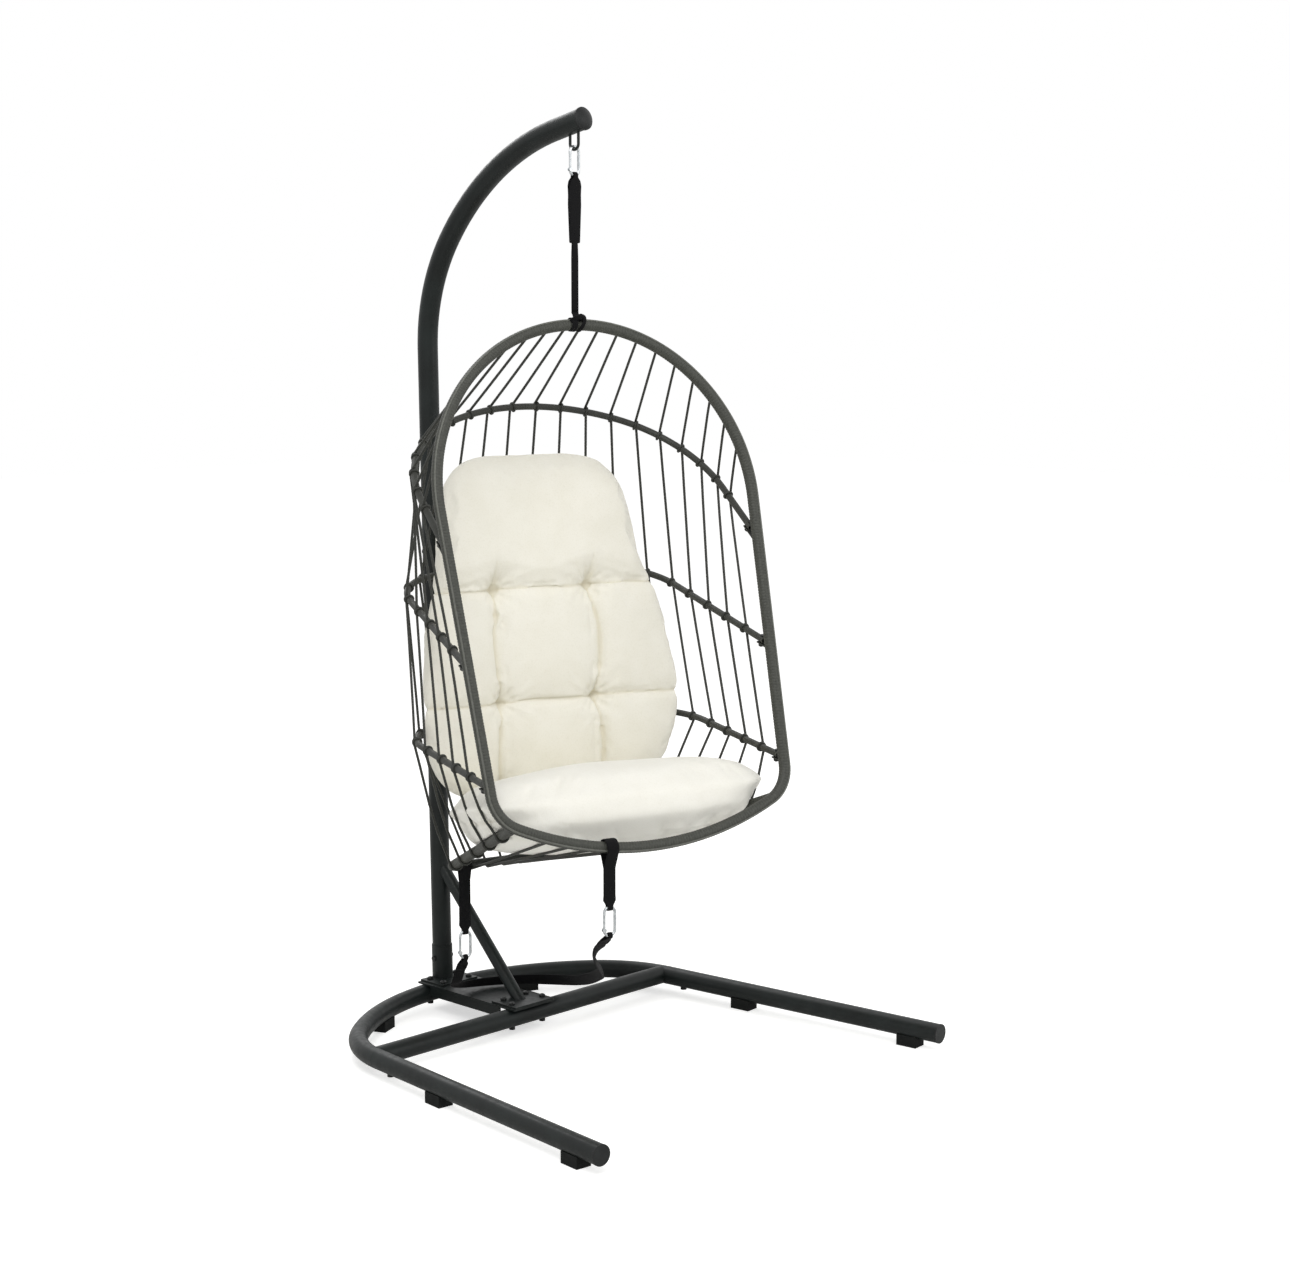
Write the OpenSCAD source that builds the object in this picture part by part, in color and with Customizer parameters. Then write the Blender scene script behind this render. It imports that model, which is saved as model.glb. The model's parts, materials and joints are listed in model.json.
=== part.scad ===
// Hanging egg chair: a basket of tube hoops and lacing cords, hung by a webbing strap
// from a curved post that stands on a horseshoe base.
// X runs to the right of someone who faces the chair, Y to its back, Z up, millimetres.

/* [Floor frame] */
// Outer diameter of the floor tubes
base_tube_d = 41; // [36:1:46]
// Wall of the floor tubes
base_wall = 1.5; // [1.2:0.1:2.5]
// Height of the rubber feet under the tubes
foot_h = 18; // [12:1:24]
// Length of one rubber foot
foot_len = 48; // [36:1:60]
// Width of one rubber foot
foot_w = 34; // [26:1:38]
// Depth from the middle of the part to the axis of the rear bend
base_rear_y = 486; // [470:1:500]
// Radius of the wide middle stretch of the rear bend
bend_mid_r = 527; // [500:1:560]
// Half of the angle that the middle stretch turns through
bend_mid_half = 41.2; // [36:0.1:44]
// Radius of the tighter stretch at each side
bend_side_r = 252; // [230:1:280]
// Angle that each floor arm opens outwards
arm_flare = 6; // [2:0.5:8]
// Straight leg of the rear bend, up to the joint with the arm
bend_leg = 138; // [110:1:160]
// Length of a floor arm in front of that joint
arm_len = 585; // [500:5:620]
// Length of the arm's spigot inside the rear bend
spigot_len = 120; // [90:1:130]
// Depth of the crossbar's axis
crossbar_y = 208; // [200:1:230]

/* [Centre plate and brace] */
// Width of the folded centre plate
plate_w = 120; // [105:1:140]
// Sheet thickness of the centre plate and of the feet that stand on it
plate_t = 4; // [3:0.5:6]
// Depth of the centre plate's folded edges
plate_fold = 21; // [15:1:24]
// Outer diameter of the diagonal brace
brace_d = 27; // [22:1:32]
// Wall of the brace
brace_wall = 1.5; // [1.2:0.1:2.5]
// Height at which the brace meets the post's axis
brace_top_z = 330; // [290:5:370]
// Depth of the brace's lower end
brace_foot_y = 236; // [225:1:245]

/* [Post and arm] */
// Outer diameter of the lower post
post_d = 43; // [40:0.5:46]
// Outer diameter of the curved arm, which slips over the lower post
arm_d = 44.5; // [43.5:0.5:48]
// Wall of the post, of the arm and of the socket
post_wall = 1.5; // [1.2:0.1:2]
// Depth of the post's axis at the floor
post_y = 485.5; // [475:0.5:495]
// Backward lean of the post
post_lean = 0.98; // [0:0.02:2]
// Height of the socket's rim
socket_top_z = 141; // [120:1:170]
// Height of the joint between the lower post and the curved arm
post_joint_z = 1050; // [900:10:1150]
// Height at which the arm starts to bend
arm_bend_z = 1475; // [1450:1:1490]
// Radius of the first stretch of the arm's bend
arm_r1 = 380; // [360:1:400]
// Angle of the first stretch
arm_a1 = 37.5; // [36:0.5:39]
// Radius of the second stretch
arm_r2 = 562; // [540:1:580]
// Angle of the second stretch
arm_a2 = 41; // [40:0.5:42]
// Straight end of the arm
arm_tip_len = 82; // [75:1:90]

/* [Hanging gear] */
// Distance from the middle of the part to the hanging point
hook_y = 49.8; // [45:0.2:55]
// Wire diameter of the eye and of the carabiners
wire_d = 6; // [5:0.5:7]
// Height of the centre of the eye's lower bend
eye_z = 1880; // [1874:1:1886]
// Distance between the centres of the eye's two legs
eye_w = 24; // [20:1:28]
// Length of a carabiner between the wire centres of its two ends
carabiner_len = 58; // [54:1:62]
// Width of a carabiner between the wire centres of its two sides
carabiner_w = 24; // [22:1:26]
// Width of the hanging strap at its upper end
strap_w = 35; // [30:1:38]
// Thickness of one layer of webbing
webbing_t = 2.6; // [2:0.1:3]
// Height at which the wide stretch of the strap ends
strap_fold_z = 1694; // [1670:1:1710]
// Height at which the strap ends in the hitch
hitch_top_z = 1556; // [1550:1:1562]
// Width of the hitch along the front rim
hitch_w = 26; // [20:1:28]

/* [Basket] */
// Turn of the basket about its strap, as it hangs at rest
chair_yaw = -16.5; // [-20:0.5:0]
// Height of the front rim's axis at its top
rim_z = 1528; // [1526:0.5:1530]
// Backward lean of the front rim
rim_lean = 17.2; // [16:0.1:18.5]
// Steel tube inside the front rim
rim_tube_d = 19; // [17:0.5:20]
// Wall of the steel tubes of the basket
rim_wall = 1.2; // [1:0.1:1.6]
// Thickness of the woven wrapping on the tubes
wrap_t = 2; // [1.5:0.1:2.5]
// Diameter of the piping along the wrapping
piping_d = 4.5; // [3.5:0.5:5.5]
// Radius of the arch at the top of the rim
rim_r = 360; // [350:1:366]
// Taper of the rim's sides
rim_taper = 2.4; // [1.8:0.1:2.8]
// Whole length of the rim, measured along its slope
rim_len = 1074; // [1066:1:1082]
// Radius of the rim's lower corners
rim_corner_r = 79; // [72:1:86]
// Radius of the rim's bulging lower edge
rim_bottom_r = 692; // [660:1:720]
// Diameter of the hoops
hoop_d = 14; // [12:0.5:16]
// Diameter of the lacing cords
cord_d = 4.8; // [4:0.2:5.4]
// Number of lacing cords on each side
cords_per_side = 10; // [10:1:10]

/* [Seat frame] */
// Half of the distance between the side tubes at the back
seat_rear_u = 215; // [205:1:225]
// Angle round the rim's lower corner at which a side tube starts
seat_front_a = 60; // [50:1:66]
// Depth of the seat's rear tube behind the strap
seat_rear_v = 160; // [150:1:170]
// Height of the seat's rear tube
seat_rear_z = 386; // [380:1:392]
// Diameter of the bare rear tube
rear_tube_d = 17; // [15:0.5:19]

/* [Cushions] */
// Thickness of the seat cushion
seat_t = 160; // [140:1:166]
// Length of the seat cushion along the seat's slope
seat_len = 440; // [420:1:450]
// Half width of the seat cushion
seat_half = 274; // [262:1:282]
// Thickness of the back cushion
back_t = 138; // [120:1:142]
// Length of the back cushion
back_len = 746.6; // [735:0.1:750]
// Backward lean of the back cushion
back_lean = 8; // [7:0.5:9]
// Depth of a sewn tuft
tuft_depth = 34; // [20:1:40]

/* [Hidden] */
$fn = 64;

// Clearance of a slipped fit, of a resting contact and of a hinge pin
fit = 0.2;
rest = 0.3;
pin_fit = 0.05;

steel = "#1E2322";
rubber = "#141616";
wicker = "#4A4B46";
cordage = "#3B3C38";
zinc = "#C9CCCE";
webbing = "#151515";
ivory = "#F1EFE4";

// Floor frame: heights and the points where its stretches meet
tube_z = foot_h + base_tube_d / 2;
tube_top = foot_h + base_tube_d;
mid_c = [0, base_rear_y - bend_mid_r];
side_a = 90 - bend_mid_half;
side_c = mid_c + (bend_mid_r - bend_side_r) * [cos(side_a), sin(side_a)];
leg_start = side_c + bend_side_r * [cos(arm_flare), sin(arm_flare)];
arm_dir = [sin(arm_flare), -cos(arm_flare)];
spigot_d = base_tube_d - 2 * base_wall - 2 * fit;
cap_t = 4;
// Where the rubber feet sit: distances along an arm, and an angle on the rear bend
foot_at = [214, 652];
foot_angle = 24;
foot_grip = 6;
arm_bolt_back = 94;
// The crossbar's ends stop this far inside the axes of the legs that they are coped to
cope_x = 8;

// Centre plate, its bolts and what stands on it
plate_top = tube_top + plate_t;
seat_top = plate_top + plate_t;
plate_rear_y = base_rear_y + 16;
plate_front_y = crossbar_y - 24;
plate_bolt_x = 38;
cross_bolt_x = 45;
brace_bolt_x = 33;
brace_bolt_y = crossbar_y + 40;
socket_bolt_y = post_y - 44;
bolt_d = 8;
head_d = 14;
head_h = 7;
nut_h = 6;

// Post: the frame that leans with it starts at the floor
post_spigot_len = 70;
arm_id = arm_d - 2 * post_wall;
post_spigot_d = arm_id - 2 * fit;
socket_id = post_d + 2 * fit;
arm_c2 = [arm_r1, 0] + (arm_r1 - arm_r2) * [cos(180 - arm_a1), sin(180 - arm_a1)];
arm_end_a = 180 - arm_a1 - arm_a2;
arm_end = arm_c2 + arm_r2 * [cos(arm_end_a), sin(arm_end_a)];
arm_rise = arm_bend_z / cos(post_lean);
// Point of the arm's axis above the hook, and the slope of its straight end
tip_slope = 90 - arm_a1 - arm_a2 + post_lean;

// Hanging gear, from the eye down
carabiner_top = eye_z + wire_d + rest;
carabiner_low = carabiner_top - carabiner_len;
gate_d = 5;
gate_pin_d = 2.4;
carabiner_r = carabiner_w / 2;
gate_top = carabiner_len - carabiner_r - 4;
gate_low = carabiner_r + 2;
strap_neck = 11;
strap_gap = wire_d / 2 + rest + 0.4;
// Height of a flat neck above the lowest point of the bend that it sits in
neck_rise = (carabiner_r - wire_d / 2) * (1 - sqrt(1 - pow(strap_neck / (2 * carabiner_r - wire_d), 2)));

// Basket: the rim's outline in its own leaning plane, from its top point
wrap_d = rim_tube_d + 2 * wrap_t;
side_d = wrap_d - 1;
rim_v = -3.3;
rim_side_p = rim_r * [cos(rim_taper), -1 - sin(rim_taper)];
rim_side_dir = [-sin(rim_taper), -cos(rim_taper)];
rim_side_in = [-cos(rim_taper), sin(rim_taper)];
rim_bottom_c = [0, rim_bottom_r - rim_len];
rim_w = rim_side_p + rim_corner_r * rim_side_in - rim_bottom_c;
rim_b = rim_w * rim_side_dir;
rim_side_len = -rim_b + sqrt(rim_b * rim_b - rim_w * rim_w + pow(rim_bottom_r - rim_corner_r, 2));
rim_corner_c = rim_side_p + rim_side_len * rim_side_dir + rim_corner_r * rim_side_in;
rim_corner_v = rim_corner_c - rim_bottom_c;
rim_corner_a = atan2(rim_corner_v[1], rim_corner_v[0]);

// Hoops, from the top down: place on the rim's slope, upward tilt to the back, inward angle of
// the sides, radius of the corners, radius of the back, depth
HOOPS = [
    [460, 35.4, 1.7, 289, 420, 457],
    [689, 15.1, 5.1, 153, 612, 523],
    [926, 5.3, 0.3, 143, 710, 494]
];
// First cord's distance from the rim on each hoop
first_cord = [137, 92, 85];
tab_w = 13;
tab_t = 3;
end_bolt = 9;
end_tab = 17;

// A hoop meets the rim at a slant: where its square end clears the wrapping, and where its tab
// starts inside the rim's wall
function hoop_slant(h) = 90 - rim_lean - h[1];
function hoop_gap(h) = (wrap_d / 2 + hoop_d / 2 * cos(hoop_slant(h))) / sin(hoop_slant(h)) + 1;
function tab_from(h) =
    rim_tube_d / 2 / sin(hoop_slant(h)) - (hoop_d + tab_t) / 2 / tan(hoop_slant(h)) - 2.5;

function rim_half(a) = rim_side_p[0] - tan(rim_taper) * (a + rim_side_p[1]);
function corner_point(a) = rim_corner_c + rim_corner_r * [cos(a), -sin(a)];
function rim_point(p) = [p[0], rim_v + p[1] * sin(rim_lean), rim_z + p[1] * cos(rim_lean)];

// Seat frame: the side tubes start on the axis of the rim's lower corners
seat_front = rim_point(corner_point(seat_front_a));
seat_slope = atan2(seat_front[2] - seat_rear_z, seat_rear_v - seat_front[1]);
function hoop_start(h) = rim_point([0, -h[0]]);

// A hoop's side, corner and back in its own plane, from the rim's axis
function hoop_d1(h) = [-sin(h[2]), cos(h[2])];
function hoop_in(h) = [-cos(h[2]), -sin(h[2])];
function hoop_c2(h) = [0, h[5] - h[4]];
function hoop_w(h) = [rim_half(h[0]), 0] + h[3] * hoop_in(h) - hoop_c2(h);
function hoop_side(h) =
    let(w = hoop_w(h), b = w * hoop_d1(h))
    -b + sqrt(b * b - w * w + pow(h[4] - h[3], 2));
function hoop_c1(h) = [rim_half(h[0]), 0] + hoop_side(h) * hoop_d1(h) + h[3] * hoop_in(h);
function hoop_turn(h) = let(v = hoop_c1(h) - hoop_c2(h)) atan2(v[1], v[0]);
function arc_mm(r, a) = r * a * PI / 180;
function hoop_half_len(h) =
    hoop_side(h) + arc_mm(h[3], hoop_turn(h) - h[2]) + arc_mm(h[4], 90 - hoop_turn(h));

// Point and outward direction on a hoop, s millimetres along it from the right end of the rim
function hoop_at(h, s) =
    let(l1 = hoop_side(h), l2 = arc_mm(h[3], hoop_turn(h) - h[2]))
    s < l1 ? [[rim_half(h[0]), 0] + s * hoop_d1(h), h[2]]
    : s < l1 + l2
        ? let(a = h[2] + (s - l1) / h[3] * 180 / PI) [hoop_c1(h) + h[3] * [cos(a), sin(a)], a]
        : let(a = hoop_turn(h) + (s - l1 - l2) / h[4] * 180 / PI) [hoop_c2(h) + h[4] * [cos(a), sin(a)], a];
// The same in the basket's frame, lifted off the hoop by the cord's radius
function on_hoop(i, s) =
    let(h = HOOPS[i], q = hoop_at(h, s), o = hoop_start(h), lift = (hoop_d + cord_d) / 2 + 1.1)
    let(p = q[0] + lift * [cos(q[1]), sin(q[1])])
    [p[0], o[1] + p[1] * cos(h[1]), o[2] + p[1] * sin(h[1])];
function cord_s(i, k) =
    first_cord[i] + (cords_per_side - 1 - k) * (hoop_half_len(HOOPS[i]) - first_cord[i]) / (cords_per_side - 0.5);
// Angle from the top of the rim's arch at which cord k starts, k counted from the middle
function rim_cord_a(k) = 2.7 + 6.5 * k + 0.165 * k * k;
function rim_cord(k) =
    let(a = 90 - rim_cord_a(k), r = rim_r, lift = (wrap_d + cord_d) / 2 + rest, p = rim_point([r * cos(a), r * sin(a) - r]))
    p + [0, lift * cos(rim_lean), -lift * sin(rim_lean)];
// Foot of a side cord on the side tube, k from side_first to the front
side_first = 5;
side_foot = [0.82, 0.62, 0.42, 0.22, 0.06];
function side_axis(t) = t * seat_front + (1 - t) * [seat_rear_u, seat_rear_v, seat_rear_z];
function side_cord_foot(k) =
    side_axis(side_foot[cords_per_side - 1 - k]) + [(side_d + cord_d) / 2 + rest, 0, 0];
// A back cord passes behind and under the rear tube, and runs forward to the rim's lower edge
back_cord_step = 38;
bottom_spread = 1.3;
function back_u(k) = (k + 0.5) * back_cord_step;
function round_rear(k, a) =
    let(r = (rear_tube_d + cord_d) / 2 + 1.4) [back_u(k), seat_rear_v + r * cos(a), seat_rear_z - r * sin(a)];
function rim_bottom_cord(k) =
    let(u = back_u(k) * bottom_spread, w = rim_bottom_c[1] - sqrt(pow(rim_bottom_r, 2) - u * u))
    rim_point([u, w]) + (wrap_d / 2 + cord_d / 2 + rest) * [0, cos(seat_slope), -sin(seat_slope)] - [0, 0, 4];

// Placing --------------------------------------------------------------------------------------

module basket() {
    translate([0, hook_y, 0]) rotate([0, 0, chair_yaw]) children();
}

module on_rim() {
    translate([0, rim_v, rim_z]) rotate([90 - rim_lean, 0, 0]) children();
}

module on_hoop_plane(h) {
    translate(hoop_start(h)) rotate([h[1], 0, 0]) children();
}

module on_post() {
    translate([0, post_y, 0]) rotate([-post_lean, 0, 0]) children();
}

// The side plane of the post: x forward, y up
module in_side_plane() {
    rotate([90, 0, -90]) children();
}

module both_sides() {
    children();
    mirror([1, 0, 0]) children();
}

// Tubes ----------------------------------------------------------------------------------------

// Stretches of one tube stop half a gap short of each other, and a short weld ring that is a
// little thicker than the wall joins them.
weld_len = 3;
weld_gap = 0.5;
weld_step = 0.1;

module tube_section(od, wall) {
    difference() {
        circle(d = od);
        circle(d = od - 2 * wall);
    }
}

module weld_section(od, wall) {
    tube_section(od + 2 * weld_step, wall + 2 * weld_step);
}

// A bend about Z of a section drawn round the origin, cut short by t0 and t1 at its ends
module bend(r, from, to, t0 = weld_gap, t1 = weld_gap) {
    a0 = from + t0 / r * 180 / PI;
    rotate([0, 0, a0]) rotate_extrude(angle = to - t1 / r * 180 / PI - a0) translate([r, 0]) children();
}

// A weld ring at the end of a bend, at angle a of a circle of radius r
module weld_at(r, a) {
    rotate([0, 0, a]) translate([r, 0, 0]) rotate([90, 0, 0]) linear_extrude(weld_len, center = true) children();
}

// A straight stretch along a direction in the XY plane; the section's x points to its right
module run(p, angle, len) {
    translate([p[0], p[1], 0]) rotate([0, 0, angle - 90]) rotate([-90, 0, 0]) linear_extrude(len) children();
}

module bolt(p, top, bottom) {
    translate([p[0], p[1], bottom - nut_h]) {
        cylinder(d = bolt_d, h = top - bottom + nut_h);
        cylinder(d = head_d, h = nut_h, $fn = 6);
    }
    translate([p[0], p[1], top]) intersection() {
        cylinder(d = head_d, h = head_h);
        translate([0, 0, head_h - head_d * 0.62]) sphere(d = head_d * 1.24);
    }
}

module bolt_hole(p, top, bottom) {
    translate([p[0], p[1], bottom]) cylinder(d = bolt_d + 2 * fit, h = top - bottom);
}

// Floor frame ----------------------------------------------------------------------------------

function arm_point(s) = leg_start + s * arm_dir;
arm_bolt_p = arm_point(bend_leg - arm_bolt_back);

module rear_bend() {
    color(steel) difference() {
        translate([0, 0, tube_z]) {
            translate(mid_c) bend(bend_mid_r, side_a, 180 - side_a) tube_section(base_tube_d, base_wall);
            both_sides() {
                translate(side_c) {
                    bend(bend_side_r, arm_flare, side_a) tube_section(base_tube_d, base_wall);
                    weld_at(bend_side_r, side_a) weld_section(base_tube_d, base_wall);
                    weld_at(bend_side_r, arm_flare) weld_section(base_tube_d, base_wall);
                }
                run(leg_start + weld_gap * arm_dir, arm_flare - 90, bend_leg - weld_gap) {
                    tube_section(base_tube_d, base_wall);
                }
            }
        }
        for (x = [-plate_bolt_x, plate_bolt_x]) bolt_hole([x, base_rear_y], tube_top + 1, foot_h - 1);
        both_sides() bolt_hole(arm_bolt_p, tube_z, foot_h - 1);
    }
}

module floor_arm() {
    color(steel) translate([0, 0, tube_z]) difference() {
        union() {
            run(arm_point(bend_leg + fit), arm_flare - 90, arm_len) tube_section(base_tube_d, base_wall);
            run(arm_point(bend_leg - spigot_len), arm_flare - 90, spigot_len + 30) tube_section(spigot_d, base_wall);
            run(arm_point(bend_leg + 4), arm_flare - 90, 22) {
                tube_section(base_tube_d - 2 * base_wall + 1.6, base_wall);
            }
        }
        translate([0, 0, -tube_z]) bolt_hole(arm_bolt_p, tube_z, foot_h - 1);
    }
}

module left_arm() {
    mirror([1, 0, 0]) floor_arm();
}

module right_arm() {
    floor_arm();
}

module crossbar() {
    color(steel) difference() {
        translate([0, 0, tube_z]) {
            difference() {
                run([cope_x - leg_start[0], crossbar_y], 0, 2 * (leg_start[0] - cope_x)) {
                    tube_section(base_tube_d, base_wall);
                }
                both_sides() translate(side_c) bend(bend_side_r, -10, 30) circle(d = base_tube_d + fit);
            }
        }
        both_sides() bolt_hole([cross_bolt_x, crossbar_y], tube_top + 1, foot_h - 1);
    }
}

module centre_plate() {
    fold_from = crossbar_y + base_tube_d / 2 + 3;
    fold_to = base_rear_y - base_tube_d / 2 - 6;
    color(steel) difference() {
        union() {
            translate([-plate_w / 2, plate_front_y, tube_top]) cube([plate_w, plate_rear_y - plate_front_y, plate_t]);
            both_sides() translate([plate_w / 2 - plate_t, fold_from, tube_top - plate_fold]) {
                cube([plate_t, fold_to - fold_from, plate_fold]);
            }
        }
        both_sides() {
            bolt_hole([plate_bolt_x, base_rear_y], plate_top + 1, tube_top - 1);
            bolt_hole([plate_bolt_x, socket_bolt_y], plate_top + 1, tube_top - 1);
            bolt_hole([cross_bolt_x, crossbar_y], plate_top + 1, tube_top - 1);
            bolt_hole([brace_bolt_x, brace_bolt_y], plate_top + 1, tube_top - 1);
        }
    }
}

module arm_end_caps() {
    color(rubber) both_sides() translate([0, 0, tube_z]) {
        run(arm_point(bend_leg + arm_len + fit), arm_flare - 90, cap_t) circle(d = base_tube_d + 1);
        run(arm_point(bend_leg + arm_len - 14), arm_flare - 90, 15 + fit) {
            tube_section(base_tube_d - 2 * base_wall - 2 * fit, 2.5);
        }
    }
}

// A foot is a block that hugs the lower part of its tube
module foot(p, angle) {
    translate([p[0], p[1], 0]) rotate([0, 0, angle]) intersection() {
        translate([-foot_len / 2, -foot_w / 2, 0]) cube([foot_len, foot_w, foot_h + foot_grip]);
        translate([0, 0, -foot_w]) scale(1) rotate([0, 90, 0]) translate([-foot_w, 0, -foot_len / 2]) {
            cylinder(d = foot_w * 2.2, h = foot_len);
        }
    }
}

module feet() {
    color(rubber) difference() {
        both_sides() {
            for (s = foot_at) foot(arm_point(s), arm_flare - 90);
            foot(mid_c + bend_mid_r * [cos(90 - foot_angle), sin(90 - foot_angle)], -foot_angle);
        }
        translate([0, 0, tube_z]) {
            translate(mid_c) bend(bend_mid_r, side_a, 180 - side_a) circle(d = base_tube_d + fit);
            both_sides() run(arm_point(bend_leg), arm_flare - 90, arm_len) circle(d = base_tube_d + fit);
        }
    }
}

module arm_bolts() {
    color(rubber) both_sides() translate([arm_bolt_p[0], arm_bolt_p[1], 0]) {
        translate([0, 0, foot_h - 5]) cylinder(d = head_d, h = 4.8);
        translate([0, 0, foot_h - 5]) cylinder(d = bolt_d, h = 16);
    }
}

module plate_bolts() {
    color(rubber) both_sides() {
        bolt([plate_bolt_x, base_rear_y], seat_top, foot_h);
        bolt([cross_bolt_x, crossbar_y], seat_top, foot_h);
        bolt([plate_bolt_x, socket_bolt_y], seat_top, tube_top);
        bolt([brace_bolt_x, brace_bolt_y], seat_top, tube_top);
    }
}

// Post, socket, arm and brace --------------------------------------------------------------------

module post_socket() {
    color(steel) difference() {
        intersection() {
            on_post() cylinder(d = socket_id + 2 * post_wall, h = socket_top_z);
            translate([-post_y, 0, seat_top]) cube([2 * post_y, 2 * post_y, socket_top_z]);
        }
        on_post() {
            cylinder(d = socket_id, h = 2 * socket_top_z);
            post_bolt_holes(socket_bolt_z, socket_id);
        }
    }
}

module socket_foot() {
    flange_w = 104;
    flange_front = socket_bolt_y - 14;
    color(steel) difference() {
        translate([-flange_w / 2, flange_front, plate_top]) {
            cube([flange_w, plate_rear_y - flange_front, plate_t]);
        }
        both_sides() {
            bolt_hole([plate_bolt_x, base_rear_y], seat_top + 1, plate_top - 1);
            bolt_hole([plate_bolt_x, socket_bolt_y], seat_top + 1, plate_top - 1);
        }
    }
}

socket_bolt_z = 112;
post_bolt_d = 6;
post_bolt_zs = [socket_bolt_z, post_joint_z - 18, post_joint_z - 50];

module post_bolt_holes(z, d) {
    translate([-d, 0, z]) rotate([0, 90, 0]) cylinder(d = post_bolt_d + 2 * fit, h = 2 * d);
}

module lower_post() {
    foot_z = (seat_top + post_d * tan(post_lean) / 2 + fit) / cos(post_lean);
    color(steel) on_post() difference() {
        union() {
            translate([0, 0, foot_z]) linear_extrude(post_joint_z - post_spigot_len - foot_z) {
                tube_section(post_d, post_wall);
            }
            translate([0, 0, post_joint_z - post_spigot_len - 12]) linear_extrude(post_spigot_len + 12) {
                tube_section(post_spigot_d, post_wall);
            }
        }
        for (z = post_bolt_zs) post_bolt_holes(z, post_d);
    }
}

module curved_arm() {
    arm_low = post_joint_z - post_spigot_len + fit;
    color(steel) on_post() difference() {
        union() {
            translate([0, 0, arm_low]) linear_extrude(arm_rise - weld_gap - arm_low) tube_section(arm_d, post_wall);
            in_side_plane() translate([0, arm_rise]) {
                translate([arm_r1, 0]) {
                    bend(arm_r1, 180 - arm_a1, 180) tube_section(arm_d, post_wall);
                    weld_at(arm_r1, 180) weld_section(arm_d, post_wall);
                }
                translate(arm_c2) {
                    bend(arm_r2, arm_end_a, 180 - arm_a1) tube_section(arm_d, post_wall);
                    weld_at(arm_r2, 180 - arm_a1) weld_section(arm_d, post_wall);
                    weld_at(arm_r2, arm_end_a) weld_section(arm_d, post_wall);
                }
                run(arm_end + weld_gap * arm_tip_dir, arm_end_a - 90, arm_tip_len - weld_gap) {
                    tube_section(arm_d, post_wall);
                }
            }
        }
        for (z = [post_joint_z - 18, post_joint_z - 50]) post_bolt_holes(z, arm_d);
    }
}

module arm_tip_cap() {
    cap_d = arm_d + 3;
    dome_r = 40;
    color(rubber) on_post() in_side_plane() translate([0, arm_rise]) {
        run(arm_end + (arm_tip_len + fit) * arm_tip_dir, arm_end_a - 90, 4) circle(d = cap_d);
        run(arm_end + (arm_tip_len - 16) * arm_tip_dir, arm_end_a - 90, 17 + fit) {
            tube_section(arm_id - 2 * fit, 3);
        }
        translate(arm_end + (arm_tip_len + fit + 4) * arm_tip_dir) rotate([0, 0, arm_end_a - 90]) {
            rotate([0, 90, 0]) intersection() {
                cylinder(d = cap_d, h = 8);
                translate([0, 0, 7 - dome_r]) sphere(r = dome_r);
            }
        }
    }
}

arm_tip_dir = [sin(arm_end_a), -cos(arm_end_a)];

module post_bolts() {
    color(rubber) on_post() for (z = post_bolt_zs) {
        reach = (z < socket_top_z ? socket_id + 2 * post_wall : arm_d) / 2 + rest;
        translate([-reach, 0, z]) rotate([0, 90, 0]) {
            cylinder(d = post_bolt_d, h = 2 * reach);
            translate([0, 0, -4]) cylinder(d = 11, h = 4);
            translate([0, 0, 2 * reach]) cylinder(d = 11, h = 5, $fn = 6);
        }
    }
}

// The brace's tube is welded to the flange that it stands on
module brace() {
    top_y = post_y + brace_top_z * tan(post_lean);
    run_y = top_y - brace_foot_y;
    rise = brace_top_z - seat_top;
    color(steel) difference() {
        intersection() {
            translate([0, brace_foot_y, seat_top]) rotate([-atan2(run_y, rise), 0, 0]) {
                translate([0, 0, -20]) linear_extrude(norm([run_y, rise]) + 20) {
                    tube_section(brace_d, brace_wall);
                }
            }
            translate([-brace_d, 0, seat_top]) cube([2 * brace_d, post_y, brace_top_z]);
        }
        on_post() cylinder(d = post_d + fit, h = 2 * brace_top_z);
    }
}

module brace_foot() {
    flange_w = 112;
    color(steel) difference() {
        translate([-flange_w / 2, plate_front_y, plate_top]) {
            cube([flange_w, brace_bolt_y + 13 - plate_front_y, plate_t]);
        }
        both_sides() {
            bolt_hole([cross_bolt_x, crossbar_y], seat_top + 1, plate_top - 1);
            bolt_hole([brace_bolt_x, brace_bolt_y], seat_top + 1, plate_top - 1);
        }
    }
}

// Hanging gear -----------------------------------------------------------------------------------

module hook_eye() {
    color(steel) difference() {
        translate([0, hook_y, eye_z + eye_w / 2]) rotate([0, 90, 0]) {
            bend(eye_w / 2, -90, 90, 0, 0) circle(d = wire_d, $fn = 32);
            for (y = [-eye_w / 2, eye_w / 2]) translate([0, y, 0]) rotate([0, -90, 0]) {
                cylinder(d = wire_d, h = 40, $fn = 32);
            }
        }
        on_post() in_side_plane() translate([0, arm_rise]) {
            run(arm_end, arm_end_a - 90, arm_tip_len) circle(d = arm_d + fit / 2);
        }
    }
}

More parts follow.
